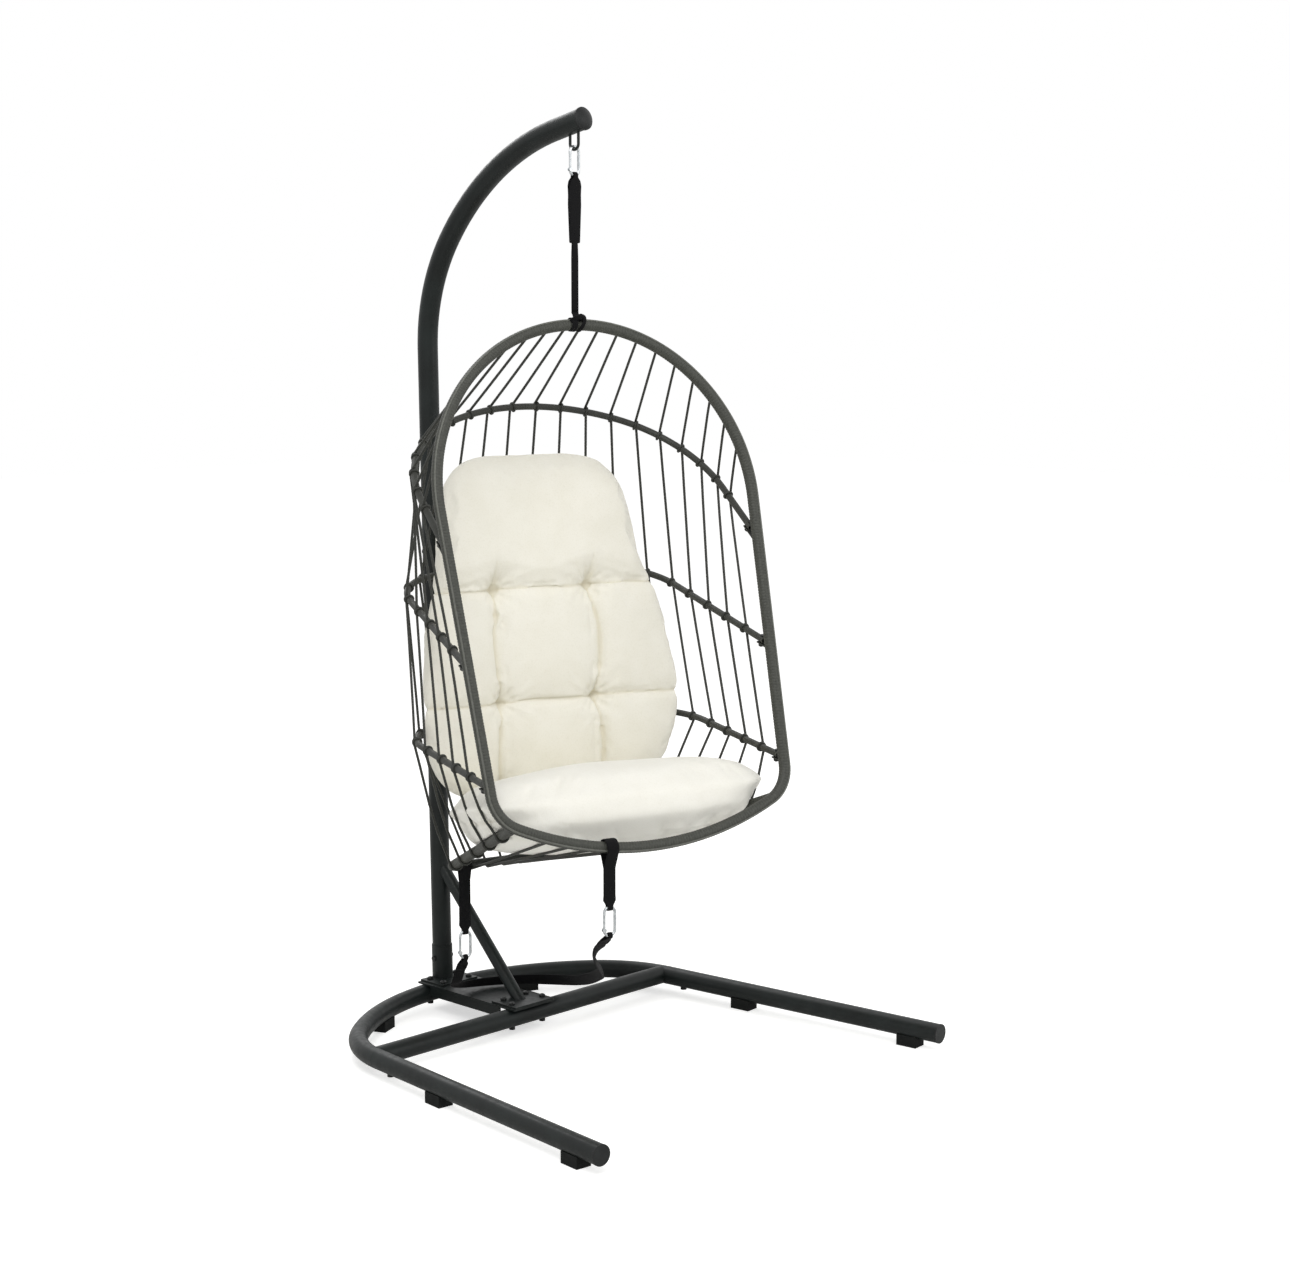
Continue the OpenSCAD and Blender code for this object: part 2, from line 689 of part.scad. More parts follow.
// Wire of a carabiner, standing on the centre of its lower bend, opening on the left
module carabiner_body() {
    color(zinc) {
        translate([0, 0, carabiner_len - carabiner_r]) rotate([90, 0, 0]) {
            bend(carabiner_r, 0, 180, 0, 0) circle(d = wire_d, $fn = 32);
        }
        translate([carabiner_r, 0, carabiner_r]) {
            cylinder(d = wire_d, h = carabiner_len - 2 * carabiner_r, $fn = 32);
        }
        // Nose that the gate closes against
        translate([-carabiner_r, 0, gate_top + rest]) {
            cylinder(d = wire_d, h = carabiner_len - carabiner_r - gate_top - rest, $fn = 32);
        }
        // Fork that carries the gate's pin
        difference() {
            translate([0, 0, carabiner_r]) rotate([90, 0, 0]) {
                bend(carabiner_r, 180, 360, 0, 0) circle(d = wire_d, $fn = 32);
                translate([-carabiner_r, 0]) linear_extrude(wire_d + 0.4, center = true) circle(d = wire_d + 2);
            }
            carabiner_fork_cut();
        }
    }
}

module carabiner_fork_cut() {
    translate([-carabiner_r, 0, carabiner_r]) {
        translate([0, 0, 3]) cube([2 * wire_d, 3 + 2 * fit, 12], center = true);
        rotate([90, 0, 0]) cylinder(d = gate_pin_d + 2 * pin_fit, h = 2 * wire_d, center = true, $fn = 32);
    }
}

module carabiner_gate() {
    color(zinc) {
        difference() {
            translate([-carabiner_r, 0, carabiner_r]) {
                rotate([90, 0, 0]) cylinder(d = gate_d, h = 3, center = true, $fn = 32);
                translate([-1.5, -1.5, 0]) cube([3, 3, 5]);
                translate([0, 0, 5]) cylinder(d = gate_d, h = gate_top - carabiner_r - 5, $fn = 32);
            }
            translate([-carabiner_r, 0, carabiner_r]) rotate([90, 0, 0]) {
                cylinder(d = gate_pin_d + 2 * pin_fit, h = 2 * wire_d, center = true, $fn = 32);
            }
        }
    }
}

module carabiner_pin() {
    color(zinc) translate([-carabiner_r, 0, carabiner_r]) rotate([90, 0, 0]) {
        cylinder(d = gate_pin_d, h = wire_d + 0.4, center = true, $fn = 32);
    }
}

module at_top() {
    translate([0, hook_y, carabiner_low]) children();
}

module top_carabiner() {
    at_top() carabiner_body();
}

module top_gate() {
    at_top() carabiner_gate();
}

module top_gate_pin() {
    at_top() carabiner_pin();
}

// A loop of webbing, seen from its edge: an arc of radius r round (0, c) and straight sides that
// run from it to the points (-w, c + y) and (w, c + y)
loop_steps = 24;
function loop_angle(r, p) = atan2(p[1], p[0]) + acos(r / norm(p));
function loop_arc(r, w, y, c) =
    let(a = loop_angle(r, [w, -abs(y)]), s = y < 0 ? 1 : -1)
    [for (i = [0:loop_steps]) let(t = a + (180 - 2 * a) * i / loop_steps) [r * cos(t), c + s * r * sin(t)]];
function reversed(p) = [for (i = [len(p) - 1:-1:0]) p[i]];

module loop_hole(r, y, c) {
    polygon(concat(loop_arc(r, 0.05, y, c), [[-0.05, c + y], [0.05, c + y]]));
}

// Two layers that pass over a carabiner's lower bend and meet below it
module loop_side(centre_z, meet_z, low_z) {
    w = webbing_t;
    difference() {
        polygon(concat(
            loop_arc(strap_gap + w, w, meet_z - centre_z, centre_z),
            [[-w, meet_z], [-w, low_z], [w, low_z], [w, meet_z]]
        ));
        loop_hole(strap_gap, meet_z - centre_z, centre_z);
    }
}

module hang_strap() {
    neck_z = carabiner_low + wire_d / 2 + neck_rise + rest;
    meet_z = neck_z - 42;
    half = strap_w / 2;
    low_half = strap_w * 0.78 / 2;
    tail_w = 15;
    color(webbing) {
        intersection() {
            translate([0, hook_y, 0]) rotate([90, 0, 90]) linear_extrude(2 * strap_w, center = true) {
                loop_side(neck_z - strap_gap, meet_z, strap_fold_z);
            }
            translate([0, hook_y, 0]) rotate([90, 0, 0]) linear_extrude(60, center = true) polygon([
                [-strap_neck / 2, neck_z + 9], [-strap_neck / 2, neck_z - 5], [-half, neck_z - 24],
                [-low_half, strap_fold_z], [low_half, strap_fold_z], [half, neck_z - 24],
                [strap_neck / 2, neck_z - 5], [strap_neck / 2, neck_z + 9]]);
        }
        translate([-tail_w / 2, hook_y - webbing_t, hitch_top_z + rest]) {
            cube([tail_w, 2 * webbing_t, strap_fold_z + 6 - hitch_top_z - rest]);
        }
    }
}

// The strap's hitch: a band round the rim and the two layers above it
module strap_hitch() {
    inner = (wrap_d + piping_d) / 2 + rest;
    lift = inner - wrap_d / 2 - rest;
    tail_w = 15;
    tail_z = rim_z + lift + inner + webbing_t / 2;
    color(webbing) basket() {
        translate([0, rim_v, rim_z + lift]) rotate([0, 90, 0]) linear_extrude(hitch_w, center = true) {
            tube_section(2 * (inner + webbing_t), webbing_t);
        }
        translate([-tail_w / 2, -webbing_t, tail_z]) cube([tail_w, 2 * webbing_t, hitch_top_z - tail_z]);
        translate([0, -1, tail_z + 3]) rotate([0, 90, 0]) {
            linear_extrude(hitch_w * 0.7, center = true) circle(r = 4.5, $fn = 32);
        }
    }
}

// Basket -----------------------------------------------------------------------------------------

// The rim's closed outline, swept with the first section that is passed in, whose x points
// outwards; the second one is for its weld rings
module rim_line() {
    translate([0, -rim_r]) bend(rim_r, -rim_taper, 180 + rim_taper) children(0);
    both_sides() {
        translate([0, -rim_r]) weld_at(rim_r, -rim_taper) children(1);
        translate(rim_side_p) rotate([0, 0, -rim_taper]) rotate([90, 0, 0]) translate([0, 0, weld_gap]) {
            linear_extrude(rim_side_len - 2 * weld_gap) children(0);
        }
        translate(rim_corner_c) {
            bend(rim_corner_r, rim_corner_a, -rim_taper) children(0);
            weld_at(rim_corner_r, -rim_taper) children(1);
            weld_at(rim_corner_r, rim_corner_a) children(1);
        }
    }
    translate(rim_bottom_c) bend(rim_bottom_r, -180 - rim_corner_a, rim_corner_a) children(0);
}

// Small plates behind the rim that the hoops are bolted to
module rim_tabs(grow) {
    for (h = HOOPS) on_hoop_plane(h) both_sides() {
        translate([rim_half(h[0]), 0, 0]) rotate([0, 0, h[2]]) {
            translate([-tab_w / 2 - grow, tab_from(h), -hoop_d / 2 - tab_t - 0.1 - grow]) {
                cube([tab_w + 2 * grow, hoop_gap(h) + end_tab - tab_from(h) + grow, tab_t + 2 * grow]);
            }
        }
    }
}

module tab_holes(d) {
    for (h = HOOPS) on_hoop_plane(h) both_sides() {
        translate([rim_half(h[0]), 0, 0]) rotate([0, 0, h[2]]) {
            translate([0, hoop_gap(h) + end_bolt, -hoop_d]) cylinder(d = d, h = 2 * hoop_d, $fn = 32);
        }
    }
}

module front_rim() {
    color(steel) basket() difference() {
        union() {
            on_rim() rim_line() {
                tube_section(rim_tube_d, rim_wall);
                weld_section(rim_tube_d, rim_wall);
            }
            rim_tabs(0);
        }
        tab_holes(5 + 2 * fit);
    }
}

module wrap_section(grow) {
    difference() {
        union() {
            circle(d = wrap_d + grow);
            rotate(45) translate([wrap_d / 2, 0]) circle(d = piping_d + grow, $fn = 32);
        }
        circle(d = rim_tube_d + 2 * fit + weld_step - grow);
    }
}

module rim_wrap() {
    color(wicker) basket() difference() {
        on_rim() rim_line() {
            wrap_section(0);
            wrap_section(weld_step);
        }
        rim_tabs(fit);
    }
}

module hoop(h) {
    gap = hoop_gap(h);
    color(cordage) basket() difference() {
        on_hoop_plane(h) {
            both_sides() {
                run([rim_half(h[0]), 0] + gap * hoop_d1(h), 90 + h[2], hoop_side(h) - gap - weld_gap) {
                    tube_section(hoop_d, rim_wall);
                }
                translate(hoop_c1(h)) {
                    bend(h[3], h[2], hoop_turn(h)) tube_section(hoop_d, rim_wall);
                    weld_at(h[3], h[2]) weld_section(hoop_d, rim_wall);
                    weld_at(h[3], hoop_turn(h)) weld_section(hoop_d, rim_wall);
                }
            }
            translate(hoop_c2(h)) bend(h[4], hoop_turn(h), 180 - hoop_turn(h)) tube_section(hoop_d, rim_wall);
        }
        tab_holes(5 + 2 * fit);
    }
}

module hoop_upper() {
    hoop(HOOPS[0]);
}

module hoop_middle() {
    hoop(HOOPS[1]);
}

module hoop_lower() {
    hoop(HOOPS[2]);
}

// Bolts with domed nuts under the hoops' ends
module hoop_bolts() {
    nut_d = 11;
    color(rubber) basket() for (h = HOOPS) on_hoop_plane(h) both_sides() {
        translate([rim_half(h[0]), 0, 0]) rotate([0, 0, h[2]]) translate([0, hoop_gap(h) + end_bolt, 0]) {
            translate([0, 0, -hoop_d / 2 - tab_t - 0.1 - rest]) {
                cylinder(d = 5, h = hoop_d + tab_t + 2 * rest, $fn = 32);
                mirror([0, 0, 1]) intersection() {
                    cylinder(d = nut_d, h = 7, $fn = 32);
                    translate([0, 0, 7 - nut_d * 0.6]) sphere(d = nut_d * 1.2);
                }
            }
            translate([0, 0, hoop_d / 2 + rest]) cylinder(d = 9, h = 2.4, $fn = 32);
        }
    }
}

// Wrapped side tube of the seat, from the rim's lower corner to the rear corner
module seat_side() {
    p0 = side_axis(1);
    p1 = side_axis(0);
    d = p1 - p0;
    color(wicker) basket() difference() {
        translate(p0) rotate([0, 0, atan2(d[1], d[0]) - 90]) rotate([-90 - atan2(-d[2], norm([d[0], d[1]])), 0, 0]) {
            linear_extrude(norm(d)) tube_section(side_d, wrap_t + rim_wall);
            translate([0, 0, norm(d)]) intersection() {
                sphere(d = side_d);
                cylinder(d = side_d, h = side_d);
            }
        }
        on_rim() {
            translate(rim_corner_c) bend(rim_corner_r, rim_corner_a - 25, -rim_taper - 10, 0, 0) {
                circle(d = wrap_d + 2 * rest);
            }
        }
    }
}

module seat_side_left() {
    basket_mirror() seat_side();
}

// Mirror about the basket's own middle plane
module basket_mirror() {
    translate([0, hook_y, 0]) rotate([0, 0, chair_yaw]) mirror([1, 0, 0]) {
        rotate([0, 0, -chair_yaw]) translate([0, -hook_y, 0]) children();
    }
}

module seat_side_right() {
    seat_side();
}

module seat_rear_tube() {
    reach = seat_rear_u - side_d / 2 - rest;
    color(steel) basket() translate([-reach, seat_rear_v, seat_rear_z]) rotate([0, 90, 0]) {
        linear_extrude(2 * reach) tube_section(rear_tube_d, rim_wall);
    }
}

// A cord along its points: a tube of eight-sided rings, square to the path at each point
function unit(v) = v / norm(v);
function path_dir(p, i) = unit(p[min(i + 1, len(p) - 1)] - p[max(i - 1, 0)]);
function ring_side(d) = unit(cross(d, abs(d[0]) < 0.8 ? [1, 0, 0] : [0, 0, 1]));
function ring(p, d, rx, ry, n, roll) =
    let(a = ring_side(d), b = cross(d, a))
    [for (j = [0:n - 1]) let(t = 360 * j / n + 22.5)
        let(x = rx * cos(t), y = ry * sin(t))
        p + (x * cos(roll) - y * sin(roll)) * a + (x * sin(roll) + y * cos(roll)) * b];
function tube_faces(m, n) = concat(
    [[for (j = [0:n - 1]) j]],
    [for (i = [0:m - 2], j = [0:n - 1]) [i * n + j, (i + 1) * n + j, (i + 1) * n + (j + 1) % n]],
    [for (i = [0:m - 2], j = [0:n - 1]) [i * n + j, (i + 1) * n + (j + 1) % n, i * n + (j + 1) % n]],
    [[for (j = [n - 1:-1:0]) (m - 1) * n + j]]
);

module cord(points, rx = cord_d / 2, ry = cord_d / 2, roll = 0) {
    rings = [for (i = [0:len(points) - 1]) each ring(points[i], path_dir(points, i), rx, ry, 8, roll)];
    polyhedron(rings, tube_faces(len(points), 8), convexity = 4);
}

// Hood and back stretch of cord k, from the rim over the three hoops
function cord_top(k) = [rim_cord(k), on_hoop(0, cord_s(0, k)), on_hoop(1, cord_s(1, k)), on_hoop(2, cord_s(2, k))];

function side_cord(k) =
    let(a = on_hoop(2, cord_s(2, k)), b = side_cord_foot(k))
    concat(cord_top(k), [a * 0.35 + b * 0.65 + [6, 4, 0], b]);

function back_cord(k) = concat(cord_top(k), [for (a = [0, 45, 90]) round_rear(k, a)], [rim_bottom_cord(k)]);

module cords_right() {
    color(cordage) basket() for (k = [side_first:cords_per_side - 1]) cord(side_cord(k));
}

module cords_left() {
    basket_mirror() cords_right();
}

module cords_back() {
    color(cordage) basket() both_sides() for (k = [0:side_first - 1]) cord(back_cord(k));
}

// Cushions ---------------------------------------------------------------------------------------

// A crowned cushion: rings that shrink from the seam round its edge to the middle of each face.
// Each point is worked out from its angle and from its place between edge and middle.
seg = 44;
layers = 12;

function soft_pow(x, e) = sign(x) * pow(abs(x), e);
function crown(e) = 0.84 * pow(cos(e), 0.55) + 0.16 * pow(cos(e), 2);
function draw_in(e) = sin(e) * (1 - 0.04 * pow(sin(2 * e), 2));

// The seat cushion is wider on top, where it bulges over the side tubes, and at the front
seat_flare = 0.14;
seat_taper = 0.13;
function seat_outline(t) =
    let(x = soft_pow(cos(t), 0.5), y = soft_pow(sin(t), 0.62))
    [x * seat_half * (1 - seat_taper * y), y * seat_len / 2];
function seat_point(t, e, side) =
    let(p = seat_outline(t) * draw_in(e), h = side * crown(e))
    [p[0] * (1 + seat_flare * h), p[1], seat_t / 2 * h];

// The back cushion is wide at the bottom and narrows to a rounded head; its rear face is flatter
back_rear = 0.72;
back_bend_r = 800;
function back_width(y) = let(s = (y - 0.205) / 0.316) 263 - 55 * s / sqrt(1 + s * s);
function back_outline(t) =
    let(x = soft_pow(cos(t), 0.5), y = soft_pow(sin(t), 0.5))
    [x * back_width(y), y * back_len / 2];

// Tufts of the back cushion, and the channels that are sewn between them
tuft_x = 112;
tuft_y = [83, -158];
tuft_r2 = 900;
channel_w = 13;
function dimple(x, y) =
    let(near = [for (ty = tuft_y, s = [-1, 1]) exp(-(pow(x - s * tuft_x, 2) + pow(y - ty, 2)) / tuft_r2)])
    let(across = [for (ty = tuft_y) exp(-pow((y - ty) / channel_w, 2))])
    let(along = y < tuft_y[0] + channel_w ? exp(-pow((abs(x) - tuft_x) / channel_w, 2)) : 0)
    max(max(near), 0.42 * max(across), 0.42 * along);
function back_point(t, e, side) =
    let(p = back_outline(t) * draw_in(e), curve = p[0] * p[0] / (2 * back_bend_r))
    side > 0
        ? [p[0], p[1], curve + back_t / 2 * crown(e) - tuft_depth * dimple(p[0], p[1]) * pow(cos(e), 0.4)]
        : [p[0], p[1], curve - back_t / 2 * back_rear * crown(e)];

// Rings of one face from its middle to the seam, then those of the other face up to the seam
function face_rings(side, low) = [for (i = [1:low], j = [0:seg - 1]) [360 * j / seg, i / layers * 90, side]];
ring_keys = concat([[0, 0, 1]], face_rings(1, layers), [[0, 0, -1]], face_rings(-1, layers - 1));
rear_pole = 1 + layers * seg;
function front_index(i, j) = 1 + (i - 1) * seg + j % seg;
function rear_index(i, j) = i == layers ? front_index(i, j) : rear_pole + 1 + (i - 1) * seg + j % seg;
cushion_faces = concat(
    [for (j = [0:seg - 1]) [0, front_index(1, j + 1), front_index(1, j)]],
    [for (i = [1:layers - 1], j = [0:seg - 1]) [front_index(i, j), front_index(i, j + 1), front_index(i + 1, j)]],
    [for (i = [1:layers - 1], j = [0:seg - 1])
        [front_index(i, j + 1), front_index(i + 1, j + 1), front_index(i + 1, j)]],
    [for (j = [0:seg - 1]) [rear_pole, rear_index(1, j), rear_index(1, j + 1)]],
    [for (i = [1:layers - 1], j = [0:seg - 1]) [rear_index(i, j), rear_index(i + 1, j), rear_index(i, j + 1)]],
    [for (i = [1:layers - 1], j = [0:seg - 1])
        [rear_index(i, j + 1), rear_index(i + 1, j), rear_index(i + 1, j + 1)]]
);

// The seat cushion lies on the cords between the side tubes
seat_mid_v = -86;
seat_mid_z = 529.9;
seat_tilt = 13.5;

module seat_cushion() {
    color(ivory) basket() translate([0, seat_mid_v, seat_mid_z]) rotate([-seat_tilt, 0, 0]) {
        polyhedron([for (k = ring_keys) seat_point(k[0], k[1], k[2])], cushion_faces, convexity = 6);
    }
}

// The back cushion stands on the rear of the seat cushion and leans against the lowest hoop
back_low_v = 138.3;
back_low_z = 514.1;

module back_cushion() {
    color(ivory) basket() translate([0, back_low_v, back_low_z]) rotate([90 - back_lean, 0, 0]) {
        translate([0, back_len / 2, 0]) {
            polyhedron([for (k = ring_keys) back_point(k[0], k[1], k[2])], cushion_faces, convexity = 6);
        }
    }
}

// Tether -----------------------------------------------------------------------------------------

front_drop_u = -96;
front_drop_w = rim_bottom_c[1] - sqrt(pow(rim_bottom_r, 2) - front_drop_u * front_drop_u);
front_drop_p = rim_point([front_drop_u, front_drop_w]);
rear_drop_p = [-188, seat_rear_v, seat_rear_z];
front_drop_len = 122;
rear_drop_len = 148;
drop_w = 26;

// A doubled strap that hangs from a tube of diameter d and carries a carabiner in its lower loop
module drop_strap(d, len) {
    r = d / 2 + rest;
    w = webbing_t;
    meet = r + 26;
    low = 26 - len;
    rotate([90, 0, 90]) linear_extrude(drop_w, center = true) difference() {
        polygon(concat(
            loop_arc(r + w, w, -meet, 0), [[-w, -meet], [-w, low]],
            reversed(loop_arc(strap_gap + w, w, 26, -len)), [[w, low], [w, -meet]]
        ));
        loop_hole(r, -meet, 0);
        loop_hole(strap_gap, 26, -len);
    }
}

// Front outline of a drop strap: narrow where it passes through the carabiner
module drop_outline(len) {
    rotate([90, 0, 0]) linear_extrude(100, center = true) polygon([
        [-drop_w / 2, 30], [drop_w / 2, 30], [drop_w / 2, 22 - len], [strap_neck / 2, 5 - len],
        [strap_neck / 2, -10 - len], [-strap_neck / 2, -10 - len], [-strap_neck / 2, 5 - len],
        [-drop_w / 2, 22 - len]]);
}

// Height of a drop carabiner's lower bend below its tube: its upper wire rests in the strap's loop
function drop_carabiner(len) = -len - strap_gap + wire_d / 2 + rest + neck_rise - carabiner_len;

module front_drop_strap() {
    color(webbing) basket() translate(front_drop_p) intersection() {
        drop_strap(wrap_d + piping_d + 4, front_drop_len);
        drop_outline(front_drop_len);
    }
}

module rear_drop_strap() {
    color(webbing) basket() translate(rear_drop_p) intersection() {
        drop_strap(rear_tube_d, rear_drop_len);
        drop_outline(rear_drop_len);
    }
}

module at_front() {
    basket() translate(front_drop_p + [0, 0, drop_carabiner(front_drop_len)]) children();
}

module at_rear() {
    basket() translate(rear_drop_p + [0, 0, drop_carabiner(rear_drop_len)]) children();
}

module front_carabiner() {
    at_front() carabiner_body();
}

module front_gate() {
    at_front() carabiner_gate();
}

module front_gate_pin() {
    at_front() carabiner_pin();
}

module rear_carabiner() {
    at_rear() carabiner_body();
}

module rear_gate() {
    at_rear() carabiner_gate();
}

module rear_gate_pin() {
    at_rear() carabiner_pin();
}

// Sewn loops at the ends of the slack webbing, round the lower bends of the drop carabiners. Each
// one leans back by its own angle, the way that the webbing pulls it.
tether_w = 25;
end_neck = 9;
end_gap = wire_d / 2 + rest + 0.9;
end_len = 38.5;
rear_end_lean = 37;
front_end_lean = 52;

module end_loop(lean) {
    c = wire_d / 2 + rest + 1.3 - end_gap;
    w = webbing_t;
    color(webbing) rotate([lean, 0, 0]) intersection() {
        rotate([90, 0, 90]) linear_extrude(2 * tether_w, center = true) difference() {
            polygon(concat(loop_arc(end_gap + w, w, -24, c), [[-w, c - 24], [-w, -end_len], [w, -end_len], [w, c - 24]]));
            loop_hole(end_gap, -24, c);
        }
        rotate([90, 0, 0]) linear_extrude(60, center = true) polygon([
            [-end_neck / 2, 12], [-end_neck / 2, -6], [-tether_w / 2, -24], [-tether_w / 2, -end_len - 1],
            [tether_w / 2, -end_len - 1], [tether_w / 2, -24], [end_neck / 2, -6], [end_neck / 2, 12]]);
    }
}

module front_end_loop() {
    at_front() end_loop(front_end_lean);
}

module rear_end_loop() {
    at_rear() end_loop(rear_end_lean);
}

// Route of the slack webbing: from the rear loop down, through the triangle between post and
// brace, over the crossbar and up to the front loop. Its two ends stand face to face on the loops.
function in_room(p) = [
    p[0] * cos(chair_yaw) - p[1] * sin(chair_yaw), hook_y + p[0] * sin(chair_yaw) + p[1] * cos(chair_yaw), p[2]
];
function end_point(p, len, lean, past) =
    in_room(p + [0, 0, drop_carabiner(len)] + (end_len + rest + past) * [0, sin(lean), -cos(lean)]);
tether_slack = [
    [-115, 308, 114], [-97, 331, 100], [-72, 347, 90], [-42, 356, 83], [-10, 358, 79], [22, 350, 77],
    [52, 333, 77], [78, 308, 78], [97, 275, 81], [105, 238, 86], [104, 200, 93], [94, 158, 103],
    [76, 112, 117], [51, 62, 136], [20, 10, 159], [-17, -42, 184], [-62, -80, 208], [-106, -115, 235],
    [-141, -145, 261]
];
tether_route = concat(
    [for (a = [0, 14]) end_point(rear_drop_p, rear_drop_len, rear_end_lean, a)],
    tether_slack,
    [for (a = [14, 0]) end_point(front_drop_p, front_drop_len, front_end_lean, a)]
);

module tether_webbing() {
    color(webbing) cord(tether_route, tether_w / 2, webbing_t / 2 + 0.2, 62);
}

rear_bend();
left_arm();
right_arm();
crossbar();
centre_plate();
arm_end_caps();
feet();
arm_bolts();
plate_bolts();
socket_foot();
post_socket();
lower_post();
curved_arm();
arm_tip_cap();
post_bolts();
brace_foot();
brace();
hook_eye();
top_carabiner();
top_gate();
top_gate_pin();
hang_strap();
strap_hitch();
front_rim();
rim_wrap();
hoop_upper();
hoop_middle();
hoop_lower();
hoop_bolts();
seat_side_left();
seat_side_right();
seat_rear_tube();
cords_left();
cords_right();
cords_back();
seat_cushion();
back_cushion();
front_drop_strap();
front_carabiner();
front_gate();
front_gate_pin();
rear_drop_strap();
rear_carabiner();
rear_gate();
rear_gate_pin();
front_end_loop();
rear_end_loop();
tether_webbing();
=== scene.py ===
"""Looks of a hanging egg chair: wound rim, lacing cords, webbing and stuffed cushions on the CAD frame.

Sizes in the classes are in millimetres; meshes are in metres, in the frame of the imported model.
"""

import json
import logging
import math
from dataclasses import dataclass, field
from enum import Enum
from typing import Callable, Optional, Sequence, Union

import bpy
import numpy as np
from bpy.types import Material, Mesh, Node, NodeSocket, NodeTree, Object
from mathutils import Euler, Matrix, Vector
from mathutils.bvhtree import BVHTree

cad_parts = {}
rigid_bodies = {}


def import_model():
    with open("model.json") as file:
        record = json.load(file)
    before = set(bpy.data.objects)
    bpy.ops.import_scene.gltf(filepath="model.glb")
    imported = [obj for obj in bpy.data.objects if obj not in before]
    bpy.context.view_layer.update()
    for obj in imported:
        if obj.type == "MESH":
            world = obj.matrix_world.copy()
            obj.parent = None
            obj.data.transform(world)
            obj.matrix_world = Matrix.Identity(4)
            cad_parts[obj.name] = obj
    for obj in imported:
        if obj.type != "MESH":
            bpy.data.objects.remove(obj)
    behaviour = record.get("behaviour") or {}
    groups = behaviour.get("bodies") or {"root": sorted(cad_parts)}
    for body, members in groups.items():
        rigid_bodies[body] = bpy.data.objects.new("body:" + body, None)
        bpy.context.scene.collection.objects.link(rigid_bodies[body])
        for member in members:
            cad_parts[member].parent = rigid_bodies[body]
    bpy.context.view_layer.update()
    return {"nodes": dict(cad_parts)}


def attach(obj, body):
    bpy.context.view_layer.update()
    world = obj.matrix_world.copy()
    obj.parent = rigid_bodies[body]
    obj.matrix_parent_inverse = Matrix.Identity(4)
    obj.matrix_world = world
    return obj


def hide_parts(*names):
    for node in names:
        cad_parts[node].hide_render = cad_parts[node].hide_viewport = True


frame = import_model()

log = logging.getLogger("chair")
MM = 0.001
Array = np.ndarray


# Small tools --------------------------------------------------------------------------------------


def linear(colour: str, alpha: float = 1.0) -> tuple[float, float, float, float]:
    """Turns an sRGB hex colour into linear light.

    Args:
        colour: The colour as "#RRGGBB".
        alpha: The fourth value to return.

    Returns:
        Red, green, blue and alpha, as shader sockets take them.
    """
    parts = [int(colour[i:i + 2], 16) / 255 for i in (1, 3, 5)]
    red, green, blue = (c / 12.92 if c <= 0.04045 else ((c + 0.055) / 1.055) ** 2.4 for c in parts)
    return red, green, blue, alpha


def add_node(tree: NodeTree, kind: str, inputs: Optional[dict] = None, **settings: object) -> Node:
    """Adds a node with its settings, values and links.

    Args:
        tree: The node tree that gets the node.
        kind: The node's class name.
        inputs: A value, or an output socket to link from, for each input by name or number.
        **settings: The node's own properties.

    Returns:
        The new node.
    """
    node = tree.nodes.new(kind)
    for key, value in settings.items():
        setattr(node, key, value)
    for key, value in (inputs or {}).items():
        if isinstance(value, NodeSocket):
            tree.links.new(value, node.inputs[key])
        else:
            node.inputs[key].default_value = value
    return node


def unit(vectors: Array) -> Array:
    """Scales each row to length one."""
    return vectors / np.maximum(np.linalg.norm(vectors, axis=-1, keepdims=True), 1e-12)


def direction(degrees: float) -> Array:
    """The flat direction at an angle from the first axis."""
    return np.array([math.cos(math.radians(degrees)), math.sin(math.radians(degrees))])


def turned(one: Array, other: Array, degrees: float) -> tuple[Array, Array]:
    """Turns a pair of flat coordinates by an angle."""
    c, s = direction(degrees)
    return one * c - other * s, one * s + other * c


def bell(x: Array, width: float) -> Array:
    """A bell curve: 1 at zero, and nearly 0 at twice the width."""
    return np.exp(-((x / width) ** 2))


def fade(x: Array, width: float) -> Array:
    """A soft step, from 1 below zero to 0 above it."""
    return 1 / (1 + np.exp(x / width))


def smooth_path(points: Array) -> Array:
    """Rounds an open polyline's corners by cutting them; its ends stay where they are."""
    here, ahead = points[:-1], points[1:]
    cut = np.stack([0.75 * here + 0.25 * ahead, 0.25 * here + 0.75 * ahead], 1).reshape(-1, 3)
    return np.vstack([points[:1], cut[1:-1], points[-1:]])


def even_path(points: Array, step: float) -> Array:
    """Spaces points evenly along a polyline.

    Args:
        points: The polyline.
        step: The wanted spacing, in the polyline's own unit.

    Returns:
        The new points, the first and last of which are the old ones.
    """
    along = np.concatenate([[0], np.cumsum(np.linalg.norm(np.diff(points, axis=0), axis=1))])
    count = max(2, int(round(along[-1] / step)) + 1)
    wanted = np.linspace(0, along[-1], count)
    return np.stack([np.interp(wanted, along, points[:, i]) for i in range(points.shape[1])], 1)


